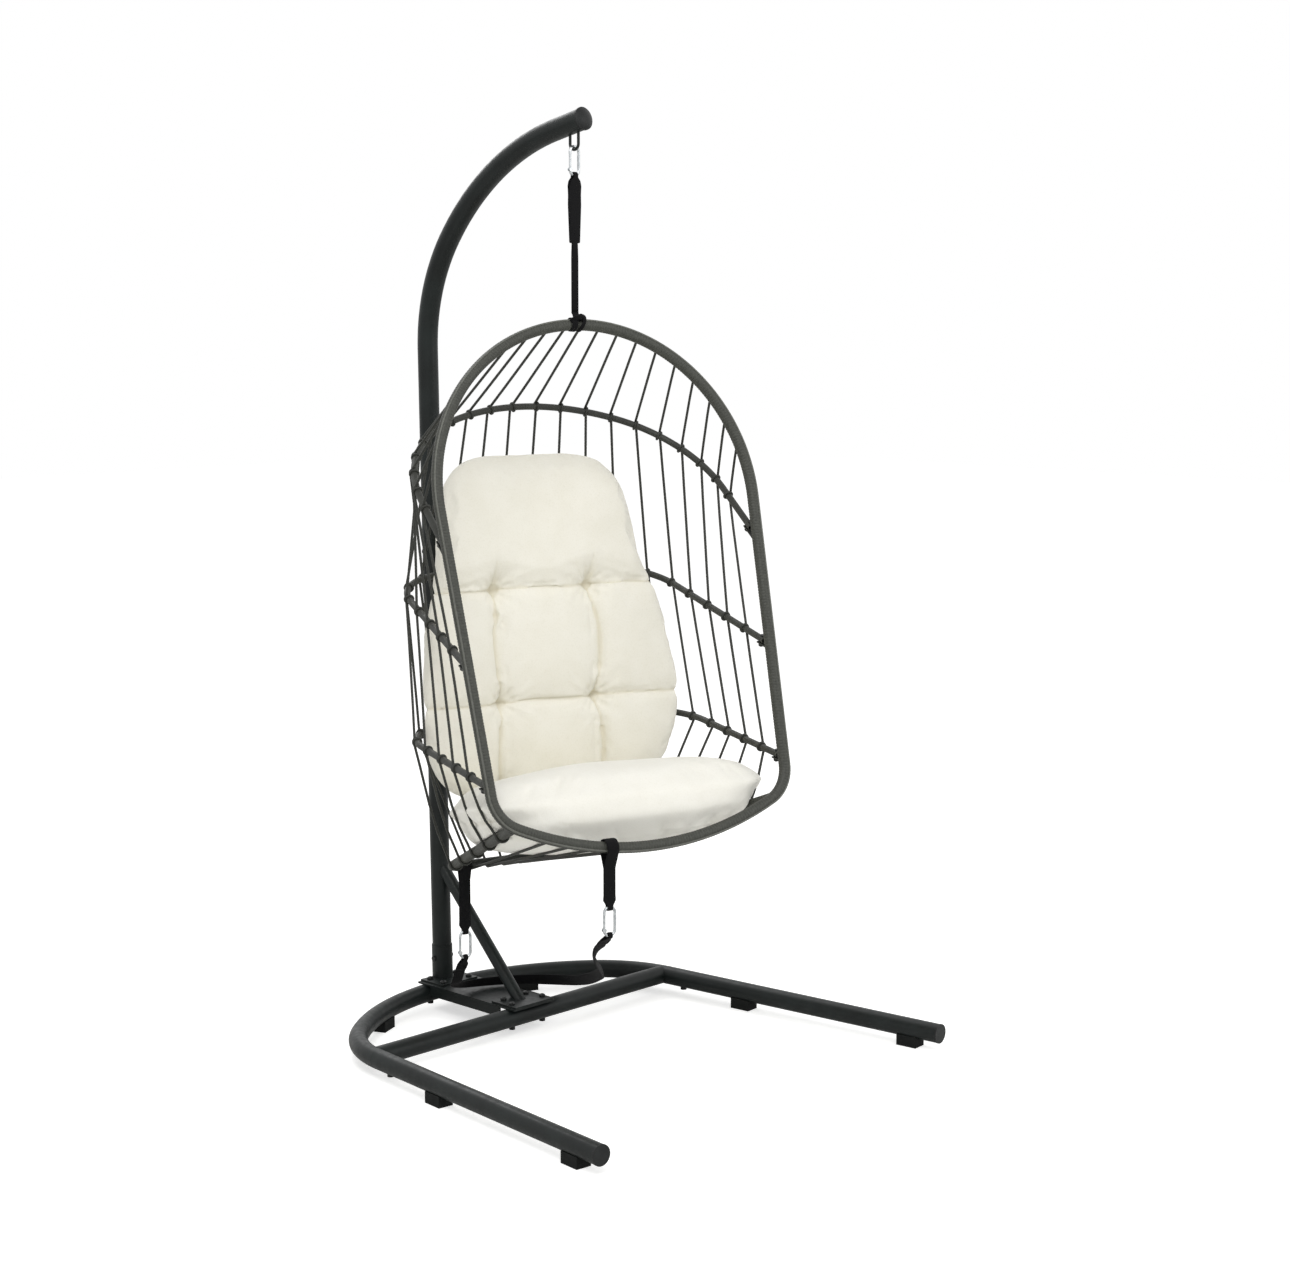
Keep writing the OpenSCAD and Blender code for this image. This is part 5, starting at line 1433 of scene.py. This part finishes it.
class Neighbours:
    """The hard pieces and the other cushion, which dent a cushion that is pressed against them.

    A dent draws the cloth beside it in as well: in each of a few rounds a point takes a share of the mean depth
    of the points that it is linked to.
    """

    rounds = 8
    carry = 0.93

    def __init__(self, names: Sequence[str]) -> None:
        """Collects the faces of the named objects.

        Args:
            names: CAD nodes and pieces.
        """
        verts: list[Array] = []
        faces: list[Array] = []
        count = 0
        for name in names:
            mesh = (frame["nodes"].get(name) or bpy.data.objects[name]).data
            mesh.calc_loop_triangles()
            corners = np.zeros(len(mesh.loop_triangles) * 3, np.int32)
            mesh.loop_triangles.foreach_get("vertices", corners)
            points = read_points(mesh)
            verts.append(points)
            faces.append(corners.reshape(-1, 3) + count)
            count += len(points)
        self.tree = BVHTree.FromPolygons(np.vstack(verts).tolist(), np.vstack(faces).tolist(), all_triangles=True)

    def settle(self, mesh: Mesh, room: float = 0.7, reach: float = 16.0, most: int = 20) -> None:
        """Moves the cushion's surface inwards where something presses on it.

        Args:
            mesh: The cushion's mesh, in place.
            room: The gap to leave, in millimetres.
            reach: How far past a neighbour a point may lie and still be drawn back.
            most: The deepest dent.
        """
        points, normals = read_points(mesh), read_normals(mesh)
        depth = np.zeros(len(points))
        near, cast = self.tree.find_nearest, self.tree.ray_cast
        for i, (point, normal) in enumerate(zip(points, normals)):
            start, way = Vector(point), Vector(-normal)
            if near(start, reach * MM)[0] is None:
                continue
            for step in range(most + 1):
                spot = start + way * (step * MM)
                if near(spot, room * MM)[0] is None and cast(spot, way, reach * MM)[0] is None:
                    break
            depth[i] = step
        pairs = np.zeros(len(mesh.edges) * 2, np.int32)
        mesh.edges.foreach_get("vertices", pairs)
        a, b = pairs.reshape(-1, 2).T
        links = np.bincount(a, minlength=len(points)) + np.bincount(b, minlength=len(points))
        for _ in range(self.rounds):
            total = np.bincount(a, depth[b], len(points)) + np.bincount(b, depth[a], len(points))
            depth = np.maximum(depth, self.carry * total / np.maximum(links, 1))
        log.info("pressed in at %d points, by up to %.0f mm", int((depth > 0.5).sum()), float(depth.max()))
        write_points(mesh, points - normals * depth[:, None] * MM)


@dataclass
class Cushion:
    """A stuffed pad: a crowned form, blown up by a cloth simulation, then seamed and placed.

    Attributes:
        shrink: How far the form is drawn in before it is blown up.
        cap: The furthest that pressure may move a point.
        seg: How many points go round the form.
        layers: How many rings lie between its middle and its seam.
        frames: How long the pressure works.
    """

    palette: Palette
    neighbours: Neighbours
    name: str = "cushion"
    node: str = "seat_cushion"
    shrink: float = 12.0
    cap: float = 15.0
    pressure: float = 4.0
    voxel: float = 6.2
    seg: int = 96
    layers: int = 24
    frames: int = 20
    fill: float = 0.7
    cloth: Upholstery = IVORY

    def outline(self, t: Array) -> Array:
        """The seam's line."""
        raise NotImplementedError

    def surface(self, flat: Array, e: Array, side: int) -> Array:
        """The points over places of the outline's inside; e goes from 0 in the middle to 90 degrees at the seam."""
        raise NotImplementedError

    def to_basket(self, local: Array) -> Array:
        """Points of the cushion in the basket's frame."""
        raise NotImplementedError

    @staticmethod
    def crown(e: Array) -> Array:
        """Height of the stuffing, 1 in the middle and 0 at the seam."""
        c = np.clip(np.cos(np.radians(e)), 0, 1)
        return 0.84 * c**0.55 + 0.16 * c**2

    @staticmethod
    def soft(x: Array, e: float) -> Array:
        """A signed power, which squares off a circle."""
        return np.sign(x) * np.abs(x) ** e

    def form(self) -> Object:
        """The closed form that the stuffing starts from."""
        verts = []
        n, m = self.seg, self.layers
        t = 360 * np.arange(n) / n
        # The seam's ring, the front's last one, serves the rear too.
        for side, rings in ((1, m), (-1, m - 1)):
            verts.append(self.surface(np.zeros((1, 2)), np.zeros(1), side))
            for i in range(1, rings + 1):
                e = np.full(n, i / m * 90)
                pull = np.sin(np.radians(e)) * (1 - 0.04 * np.sin(2 * np.radians(e)) ** 2)
                verts.append(self.surface(self.outline(t) * pull[:, None], e, side))
        pole = 1 + m * n
        front: Callable[[int, int], int] = lambda i, j: 1 + (i - 1) * n + j % n
        rear: Callable[[int, int], int] = lambda i, j: front(i, j) if i == m else pole + 1 + (i - 1) * n + j % n
        faces: list = [(0, front(1, j), front(1, j + 1)) for j in range(n)]
        faces += [(pole, rear(1, j + 1), rear(1, j)) for j in range(n)]
        for i in range(1, m):
            for j in range(n):
                faces.append((front(i, j), front(i + 1, j), front(i + 1, j + 1), front(i, j + 1)))
                faces.append((rear(i, j + 1), rear(i + 1, j + 1), rear(i + 1, j), rear(i, j)))
        return mesh_piece(self.name, np.vstack(verts) * MM, faces)

    def stuffed(self, piece: Object) -> None:
        """Remeshes the form evenly, draws it in, and lets pressure blow it up again."""
        remesh = piece.modifiers.new("even", "REMESH")
        remesh.mode = "VOXEL"
        remesh.voxel_size = self.voxel * MM
        baked(piece)
        mesh = piece.data
        start = read_points(mesh)
        start = start - self.shrink * MM * read_normals(mesh) * (1 - self.held(start / MM))[:, None]
        write_points(mesh, start)
        pins = piece.vertex_groups.new(name="sewn")
        for i, weight in enumerate(self.held(start / MM)):
            if weight > 0.05:
                pins.add([i], float(weight), "REPLACE")
        cloth = piece.modifiers.new("stuffing", "CLOTH")
        cloth.settings.use_pressure = True
        cloth.settings.uniform_pressure_force = self.pressure
        cloth.settings.effector_weights.gravity = 0.0
        cloth.settings.quality = 5
        cloth.settings.mass = 0.25
        cloth.settings.vertex_group_mass = "sewn"
        cloth.collision_settings.use_collision = False
        cloth.point_cache.frame_start = 1
        cloth.point_cache.frame_end = self.frames
        scene = bpy.context.scene
        for number in range(1, self.frames + 1):
            scene.frame_set(number)
        graph = bpy.context.evaluated_depsgraph_get()
        blown = read_points(piece.evaluated_get(graph).data)
        piece.modifiers.clear()
        piece.vertex_groups.clear()
        scene.frame_set(1)
        move = blown - start
        far = np.linalg.norm(move, axis=1, keepdims=True)
        move *= np.minimum(1, self.cap * MM / np.maximum(far, 1e-9))
        write_points(mesh, start + move)
        log.info("%s: stuffing moved its points by up to %.1f mm", self.name, float(far.max() / MM))

    def held(self, local: Array) -> Array:
        """How firmly stitches hold each point, 0 to 1."""
        return np.zeros(len(local))

    def sewn(self, local: Array, normals: Array) -> tuple[Array, Array]:
        """Presses the seams and folds into the stuffed form, and says how much painted shade each point gets in a seam
        or crease, 0 to 1.
        """
        return local, np.zeros(len(local))

    def folds(self, local: Array, size: float, seed: int) -> Array:
        """Soft unevenness of cloth over fibre: a few crossing waves with fixed phases."""
        rng = np.random.default_rng(seed)
        total = np.zeros(len(local))
        for _ in range(14):
            way = unit(rng.normal(size=3))
            total += np.sin(local @ way * 2 * np.pi / (size * rng.uniform(0.6, 1.8)) + rng.uniform(0, 2 * np.pi))
        return total / 14 * 1.6

    def build(self) -> None:
        """Makes the finished cushion."""
        piece = self.form()
        self.stuffed(piece)
        finer = piece.modifiers.new("finer", "SUBSURF")
        finer.levels = finer.render_levels = 1
        baked(piece)
        mesh = piece.data
        mesh.polygons.foreach_set("use_smooth", [True] * len(mesh.polygons))
        local, crease = self.sewn(read_points(mesh) / MM, read_normals(mesh))
        # The crease values are kept for the cloth, which paints shade with them.
        tinted = mesh.attributes.new("crease", "FLOAT", "POINT")
        tinted.data.foreach_set("value", np.clip(crease, 0, 1).astype(np.float32))
        write_points(mesh, ROOM.out(self.to_basket(local)))
        self.neighbours.settle(mesh)
        place(piece, "basket", "cushion_fabric", self.palette[self.cloth], self.node)

    def seam_distance(self, local: Array, chunk: int = 4000) -> Array:
        """How far each point is from the seam round the edge, worked out a chunk at a time to spare memory."""
        t = np.linspace(0, 360, 721)[:-1]
        seam = self.surface(self.outline(t), np.full(len(t), 90.0), 1)
        parts = [local[i:i + chunk] for i in range(0, len(local), chunk)]
        return np.concatenate([np.linalg.norm(part[:, None] - seam[None], axis=2).min(1) for part in parts])


@dataclass
class SeatCushion(Cushion):
    """The seat: plain, thick, wider on top and at the front.

    Attributes:
        flare: How much wider its top is than its seam, as a share.
        bulge: How far its upper sides swell.
        loft: How much its top rises above the plain form.
        taper: How much wider its front is than its middle, as a share.
        mid_v: Its middle's place behind the hook's line.
        tilt: How far it slopes down to the rear, in degrees.
    """

    name: str = "seat_pad"
    node: str = "seat_cushion"
    # The seat's cloth is painted a shade whiter for the light from above.
    cloth: Upholstery = LIT_SEAT_IVORY
    shrink: float = 6.0
    cap: float = 13.0
    thick: float = 160.0
    length: float = 446.0
    half: float = 292.0
    flare: float = 0.14
    bulge: float = 34.0
    loft: float = 12.0
    taper: float = 0.13
    mid_v: float = -86.0
    mid_z: float = 529.9
    tilt: float = 13.5

    def outline(self, t: Array) -> Array:
        """A squared-off oval, wider at the front."""
        x = self.soft(np.cos(np.radians(t)), 0.42)
        y = self.soft(np.sin(np.radians(t)), 0.52)
        return np.stack([x * self.half * (1 - self.taper * y), y * self.length / 2], 1)

    def surface(self, flat: Array, e: Array, side: int) -> Array:
        """Crowned above and below."""
        h = side * self.crown(e)
        up = np.clip(h, 0, 1)
        x, y = flat.T
        over = self.bulge * up * (1 - up) * 4 * x / self.half
        return np.stack([x * (1 + self.flare * h) + over, y, self.thick / 2 * h + self.loft * up], 1)

    def to_basket(self, local: Array) -> Array:
        """Lays the cushion on the seat's slope."""
        x, y, z = local.T
        v, w = turned(y, z, -self.tilt)
        return np.stack([x, self.mid_v + v, self.mid_z + w], 1)

    def sewn(self, local: Array, normals: Array) -> tuple[Array, Array]:
        """A pulled-in seam round the edge, puckered, and lazy folds on the faces."""
        near = self.seam_distance(local)
        angle = np.arctan2(local[:, 1], local[:, 0])
        pucker = 0.5 + 0.5 * np.sin(angle * 61 + 2 * np.sin(angle * 7))
        push = 1.5 * bell(near - 9, 5) * pucker - 4.2 * bell(near, 6)
        push += 2.4 * self.folds(local, 150, 3) * np.clip(near / 40, 0, 1)
        push += 0.9 * self.folds(local, 46, 4) * bell(near - 22, 24)
        # The second value paints shade along the seam.
        return local + normals * push[:, None], 0.8 * bell(near, 3.5)


@dataclass
class BackCushion(Cushion):
    """The back: four tufts, with channels sewn across at both rows and down from the upper one.

    Attributes:
        waist: Half of its width between head and seat.
        narrows: How much that changes to either end.
        head: How much wider the head is than that curve.
        rise: How much higher the head reaches.
        rear: The share of the thickness behind the seam's plane.
        bend_r: The radius at which it bends round the sitter.
        tuft_x: The tufts' distance from the middle line.
        tuft_y: The two rows' heights from the middle.
        channel: How wide a channel is.
        tuft_r: How wide a tuft's hollow is.
        low_v: Its foot's place behind the hook's line.
        lean: How far it leans back, in degrees.
        pleats: The slant, length and depth of each pleat that rises from an upper tuft.
    """

    name: str = "back_pad"
    node: str = "back_cushion"
    shrink: float = 5.0
    cap: float = 12.0
    waist: float = 263.0
    narrows: float = 55.0
    head: float = 34.0
    rise: float = 13.0
    thick: float = 138.0
    length: float = 746.6
    rear: float = 0.72
    bend_r: float = 800.0
    tuft_x: float = 112.0
    tuft_y: tuple[float, float] = (83.0, -158.0)
    depth: float = 34.0
    channel: float = 13.0
    tuft_r: float = 30.0
    low_v: float = 138.3
    low_z: float = 514.1
    lean: float = 8.0
    pleats: tuple[tuple[float, float, float], ...] = ((0.06, 84, 6.5), (-0.30, 48, 3.0), (0.42, 42, 2.6))

    def width(self, y: Array) -> Array:
        """Half width at a share of the length, 1 at the head."""
        s = (y - 0.205) / 0.316
        return self.waist - self.narrows * s / np.sqrt(1 + s * s) + self.head * fade(0.35 - y, 0.12)

    def outline(self, t: Array) -> Array:
        """Wide at the bottom, narrowing to a rounded head."""
        x = self.soft(np.cos(np.radians(t)), 0.46)
        y = self.soft(np.sin(np.radians(t)), 0.48)
        return np.stack([x * self.width(y), y * self.length / 2 + self.rise * np.clip(y - 0.2, 0, 1) / 0.8], 1)

    def from_tufts(self, x: Array, y: Array) -> Array:
        """How far each place is from the nearest tuft."""
        return np.min([np.hypot(x - s * self.tuft_x, y - ty) for ty in self.tuft_y for s in (-1, 1)], 0)

    def dimple(self, x: Array, y: Array) -> Array:
        """Depth of tufts and channels, 0 to 1."""
        across = np.max([bell(y - ty, self.channel) for ty in self.tuft_y], 0)
        down = bell(np.abs(x) - self.tuft_x, self.channel) * fade(y - self.tuft_y[0], 4)
        return np.maximum(bell(self.from_tufts(x, y), self.tuft_r), 0.42 * np.maximum(across, down))

    def surface(self, flat: Array, e: Array, side: int) -> Array:
        """Crowned and tufted in front, flatter behind, and bent round the sitter."""
        x, y = flat.T
        curve = x * x / (2 * self.bend_r)
        c = np.clip(np.cos(np.radians(e)), 0, 1)
        if side > 0:
            z = curve + self.thick / 2 * self.crown(e) - self.depth * self.dimple(x, y) * c**0.4
        else:
            z = curve - self.thick / 2 * self.rear * self.crown(e)
        return np.stack([x, y, z], 1)

    def to_basket(self, local: Array) -> Array:
        """Stands the cushion up against the hoops."""
        x, y, z = local.T
        v, w = turned(y + self.length / 2, z, 90 - self.lean)
        return np.stack([x, self.low_v + v, self.low_z + w], 1)

    def front_share(self, local: Array) -> Array:
        """1 on the front face, falling to 0 behind the seam."""
        x, _, z = local.T
        return fade(x**2 / (2 * self.bend_r) + 6 - z, 5)

    def held(self, local: Array) -> Array:
        """Tufts are held fast, channels nearly so."""
        x, y, _ = local.T
        rows = np.min([np.abs(y - ty) for ty in self.tuft_y], 0)
        down = np.where(y < self.tuft_y[0], np.abs(np.abs(x) - self.tuft_x), np.inf)
        grip = np.maximum(1.0 * (self.from_tufts(x, y) < 13), 0.75 * (np.minimum(rows, down) < 4.5))
        return grip * (self.front_share(local) > 0.5)

    def sewn(self, local: Array, normals: Array) -> tuple[Array, Array]:
        """Sharp creases along the channels, pleats that fan out of the tufts, and the seam round the edge."""
        x, y, _ = local.T
        top, low = self.tuft_y
        front = self.front_share(local)
        near = self.seam_distance(local)
        rows = np.min([np.abs(y - ty + 2.0 * np.sin(x / 37)) for ty in self.tuft_y], 0)
        bow = 11 * np.abs(np.sin(np.clip((top - y) / (top - low), 0, 2) * math.pi))
        down = np.abs(np.abs(x) - self.tuft_x - bow)
        below = fade(y - top - 2, 3)

        # The two rows and the two lines down from the upper one, each with small puckers beside it.
        push = -front * (4.5 * bell(rows, 9) + 3.6 * bell(rows, 2.6))
        push -= front * below * (7.0 * bell(down, 14) + 4.2 * bell(down, 3.0))
        # The crease values paint shade into the rows and channels here, and into the tufts, pleats and seam below.
        crease = front * np.maximum(bell(rows, 3), below * bell(down, 3))
        ripple = 0.5 + 0.5 * np.sin(x / 6.3 + 1.7 * np.sin(x / 23))
        push += front * 1.2 * ripple * bell(rows - 9, 6)
        ripple = 0.5 + 0.5 * np.sin(y / 6.1 + 1.9 * np.sin(y / 19))
        push += front * below * 1.2 * ripple * bell(down - 9, 6)

        for s, ty in ((s, ty) for ty in self.tuft_y for s in (-1, 1)):
            dx, dy = x - s * self.tuft_x, y - ty
            r, a = np.hypot(dx, dy), np.arctan2(dy, dx)
            push -= front * 8 * bell(r, 11)
            push += front * 1.6 * np.cos(a * 11 + 0.8 * np.sin(a * 3) + s) * bell(r - 22, 17)
            crease = np.maximum(crease, front * bell(r, 6))
            for slant, reach, deep in self.pleats if ty == top else ():
                off = dx - slant * s * dy
                strength = np.clip(dy / 8, 0, 1) * np.clip(1 - dy / reach, 0, 1) ** 0.8
                push -= front * deep * bell(off, 5.5) * strength
                crease = np.maximum(crease, 0.6 * front * strength * bell(off, 2.8))

        # The seam round the edge, the cloth's own unevenness, and the waist that each row draws in.
        push += 1.2 * bell(near - 9, 5) - 4.0 * bell(near, 6)
        crease = np.maximum(crease, 0.8 * bell(near, 3.5))
        push += 2.0 * self.folds(local, 120, 11) * np.clip(near / 40, 0, 1) * np.clip(rows / 30, 0.3, 1)
        push += 0.8 * self.folds(local, 34, 12) * bell(near - 20, 22)
        moved = local + normals * push[:, None]
        moved[:, 0] -= np.sign(x) * 5.0 * bell(rows, 12) * bell(near, 60) * (0.4 + 0.6 * front)
        return moved, crease


# Stand --------------------------------------------------------------------------------------------


@dataclass
class Stand:
    """The floor frame and the curved post: CAD nodes that only need their finishes."""

    palette: Palette

    def build(self) -> None:
        """Dresses tubes, plate, caps, feet and bolts."""
        self.palette.dress(STEEL, "rear_bend", "left_arm", "right_arm", "crossbar", "centre_plate", "socket_foot",
                           "post_socket", "lower_post", "curved_arm", "brace_foot", "brace", "hook_eye")
        self.palette.dress(CAP, "arm_end_caps", "arm_tip_cap")
        self.palette.dress(RUBBER, "feet")
        self.palette.dress(FASTENER, "arm_bolts", "plate_bolts", "post_bolts")
        log.info("stand dressed")


# Studio -------------------------------------------------------------------------------------------


@dataclass
class Lamp:
    """A soft rectangular lamp that points at a place."""

    name: str
    at: tuple[float, float, float]
    size: float
    watts: float
    target: tuple[float, float, float] = (0.0, 0.0, 0.9)

    def build(self) -> None:
        """Makes the lamp."""
        data = bpy.data.lights.new(self.name, "AREA")
        data.shape = "DISK"
        data.size = self.size
        data.energy = self.watts
        lamp = bpy.data.objects.new(self.name, data)
        lamp.location = self.at
        lamp.rotation_euler = (Vector(self.target) - Vector(self.at)).to_track_quat("-Z", "Y").to_euler()
        bpy.context.scene.collection.objects.link(lamp)


@dataclass
class Studio:
    """Camera, white surroundings, pale floor and soft lamps.

    Attributes:
        turn: The camera's turn, in degrees.
        sky: How strongly the surroundings light the chair; where they are seen, they are white.
        floor_r: Half of the floor's width.
        floor_glow: What the floor adds to its own light where it is seen, so that it ends in white.
    """

    at: tuple[float, float, float] = (-3.4226, -3.4599, 1.5617)
    turn: tuple[float, float, float] = (81.778, 0.0, -45.871)
    lens: float = 66.16
    shift: tuple[float, float] = (0.00274, 0.01036)
    sky: float = 0.59
    floor_r: float = 16.0
    floor_glow: float = 0.57
    lamps: tuple[Lamp, ...] = (
        Lamp("key", (-2.6, -2.2, 4.4), 2.6, 100.0),
        Lamp("fill", (1.8, -3.6, 2.4), 3.0, 33.0),
        Lamp("back", (1.2, 3.4, 3.6), 2.4, 42.0),
    )

    def build(self) -> None:
        """Sets the whole studio up."""
        self.camera()
        self.world()
        self.floor()
        for lamp in self.lamps:
            lamp.build()
        bpy.context.scene.view_settings.view_transform = "Standard"

    def camera(self) -> None:
        """A long lens at chest height, to the front left."""
        data = bpy.data.cameras.new("camera")
        data.sensor_width = 36.0
        data.lens = self.lens
        data.shift_x, data.shift_y = self.shift
        data.clip_end = 60
        camera = bpy.data.objects.new("camera", data)
        camera.location = self.at
        camera.rotation_euler = Euler([math.radians(a) for a in self.turn])
        bpy.context.scene.collection.objects.link(camera)
        bpy.context.scene.camera = camera

    def seen(self, tree: NodeTree) -> NodeSocket:
        """1 for rays that show the background itself, in a mirror or glass too."""
        path = add_node(tree, "ShaderNodeLightPath").outputs
        shown = path["Is Camera Ray"]
        for ray in ("Is Glossy Ray", "Is Transmission Ray"):
            shown = add_node(tree, "ShaderNodeMath", {0: shown, 1: path[ray]}, operation="MAXIMUM").outputs[0]
        return shown

    def world(self) -> None:
        """White where it is seen, and softer where it lights."""
        world = bpy.data.worlds.new("white_room")
        world.use_nodes = True
        tree = world.node_tree
        tree.nodes.clear()
        light = add_node(tree, "ShaderNodeBackground", {"Color": linear("#FFFFFF"), "Strength": self.sky})
        white = add_node(tree, "ShaderNodeBackground", {"Color": linear("#FFFFFF"), "Strength": 1.0})
        mix = add_node(tree, "ShaderNodeMixShader", {0: self.seen(tree), 1: light.outputs[0], 2: white.outputs[0]})
        add_node(tree, "ShaderNodeOutputWorld", {"Surface": mix.outputs[0]})
        bpy.context.scene.world = world

    def floor(self) -> None:
        """A pale floor that keeps a soft shadow and fades into the white room."""
        r = self.floor_r
        mesh = bpy.data.meshes.new("floor")
        mesh.from_pydata([(-r, -r, 0), (r, -r, 0), (r, r, 0), (-r, r, 0)], [], [(0, 1, 2, 3)])
        floor = bpy.data.objects.new("floor", mesh)
        bpy.context.scene.collection.objects.link(floor)
        material = bpy.data.materials.new("pale_floor")
        material.use_nodes = True
        tree = material.node_tree
        tree.nodes.clear()
        matt = add_node(tree, "ShaderNodeBsdfDiffuse", {"Color": linear("#EDEDEB")})
        glow = add_node(tree, "ShaderNodeEmission", {"Color": linear("#FFFFFF"), "Strength": self.floor_glow})
        camera = add_node(tree, "ShaderNodeLightPath").outputs["Is Camera Ray"]
        shown = add_node(tree, "ShaderNodeMixShader", {0: camera, 2: glow.outputs[0]})
        both = add_node(tree, "ShaderNodeAddShader", {0: matt.outputs[0], 1: shown.outputs[0]})
        add_node(tree, "ShaderNodeOutputMaterial", {"Surface": both.outputs[0]})
        mesh.materials.append(material)


def main() -> None:
    """Builds the studio and the chair, piece by piece."""
    logging.basicConfig(level=logging.INFO, format="%(name)s: %(message)s")
    Studio().build()
    palette = Palette()
    tubes, stitches = WoundTube(), StitchLine()
    Tether(palette, stitches).build()
    Stand(palette).build()
    HangingGear(palette, stitches).build()
    Basket(palette, tubes).build()
    hard = ["hoop_upper", "hoop_middle", "hoop_lower", "hoop_bolts", "seat_rear_tube", "rim_winding",
            "side_winding_left", "side_winding_right", "laced_cords_left", "laced_cords_right", "laced_cords_back"]
    SeatCushion(palette, Neighbours(hard)).build()
    BackCushion(palette, Neighbours([*hard, "seat_pad"])).build()


if __name__ == "__main__":
    main()
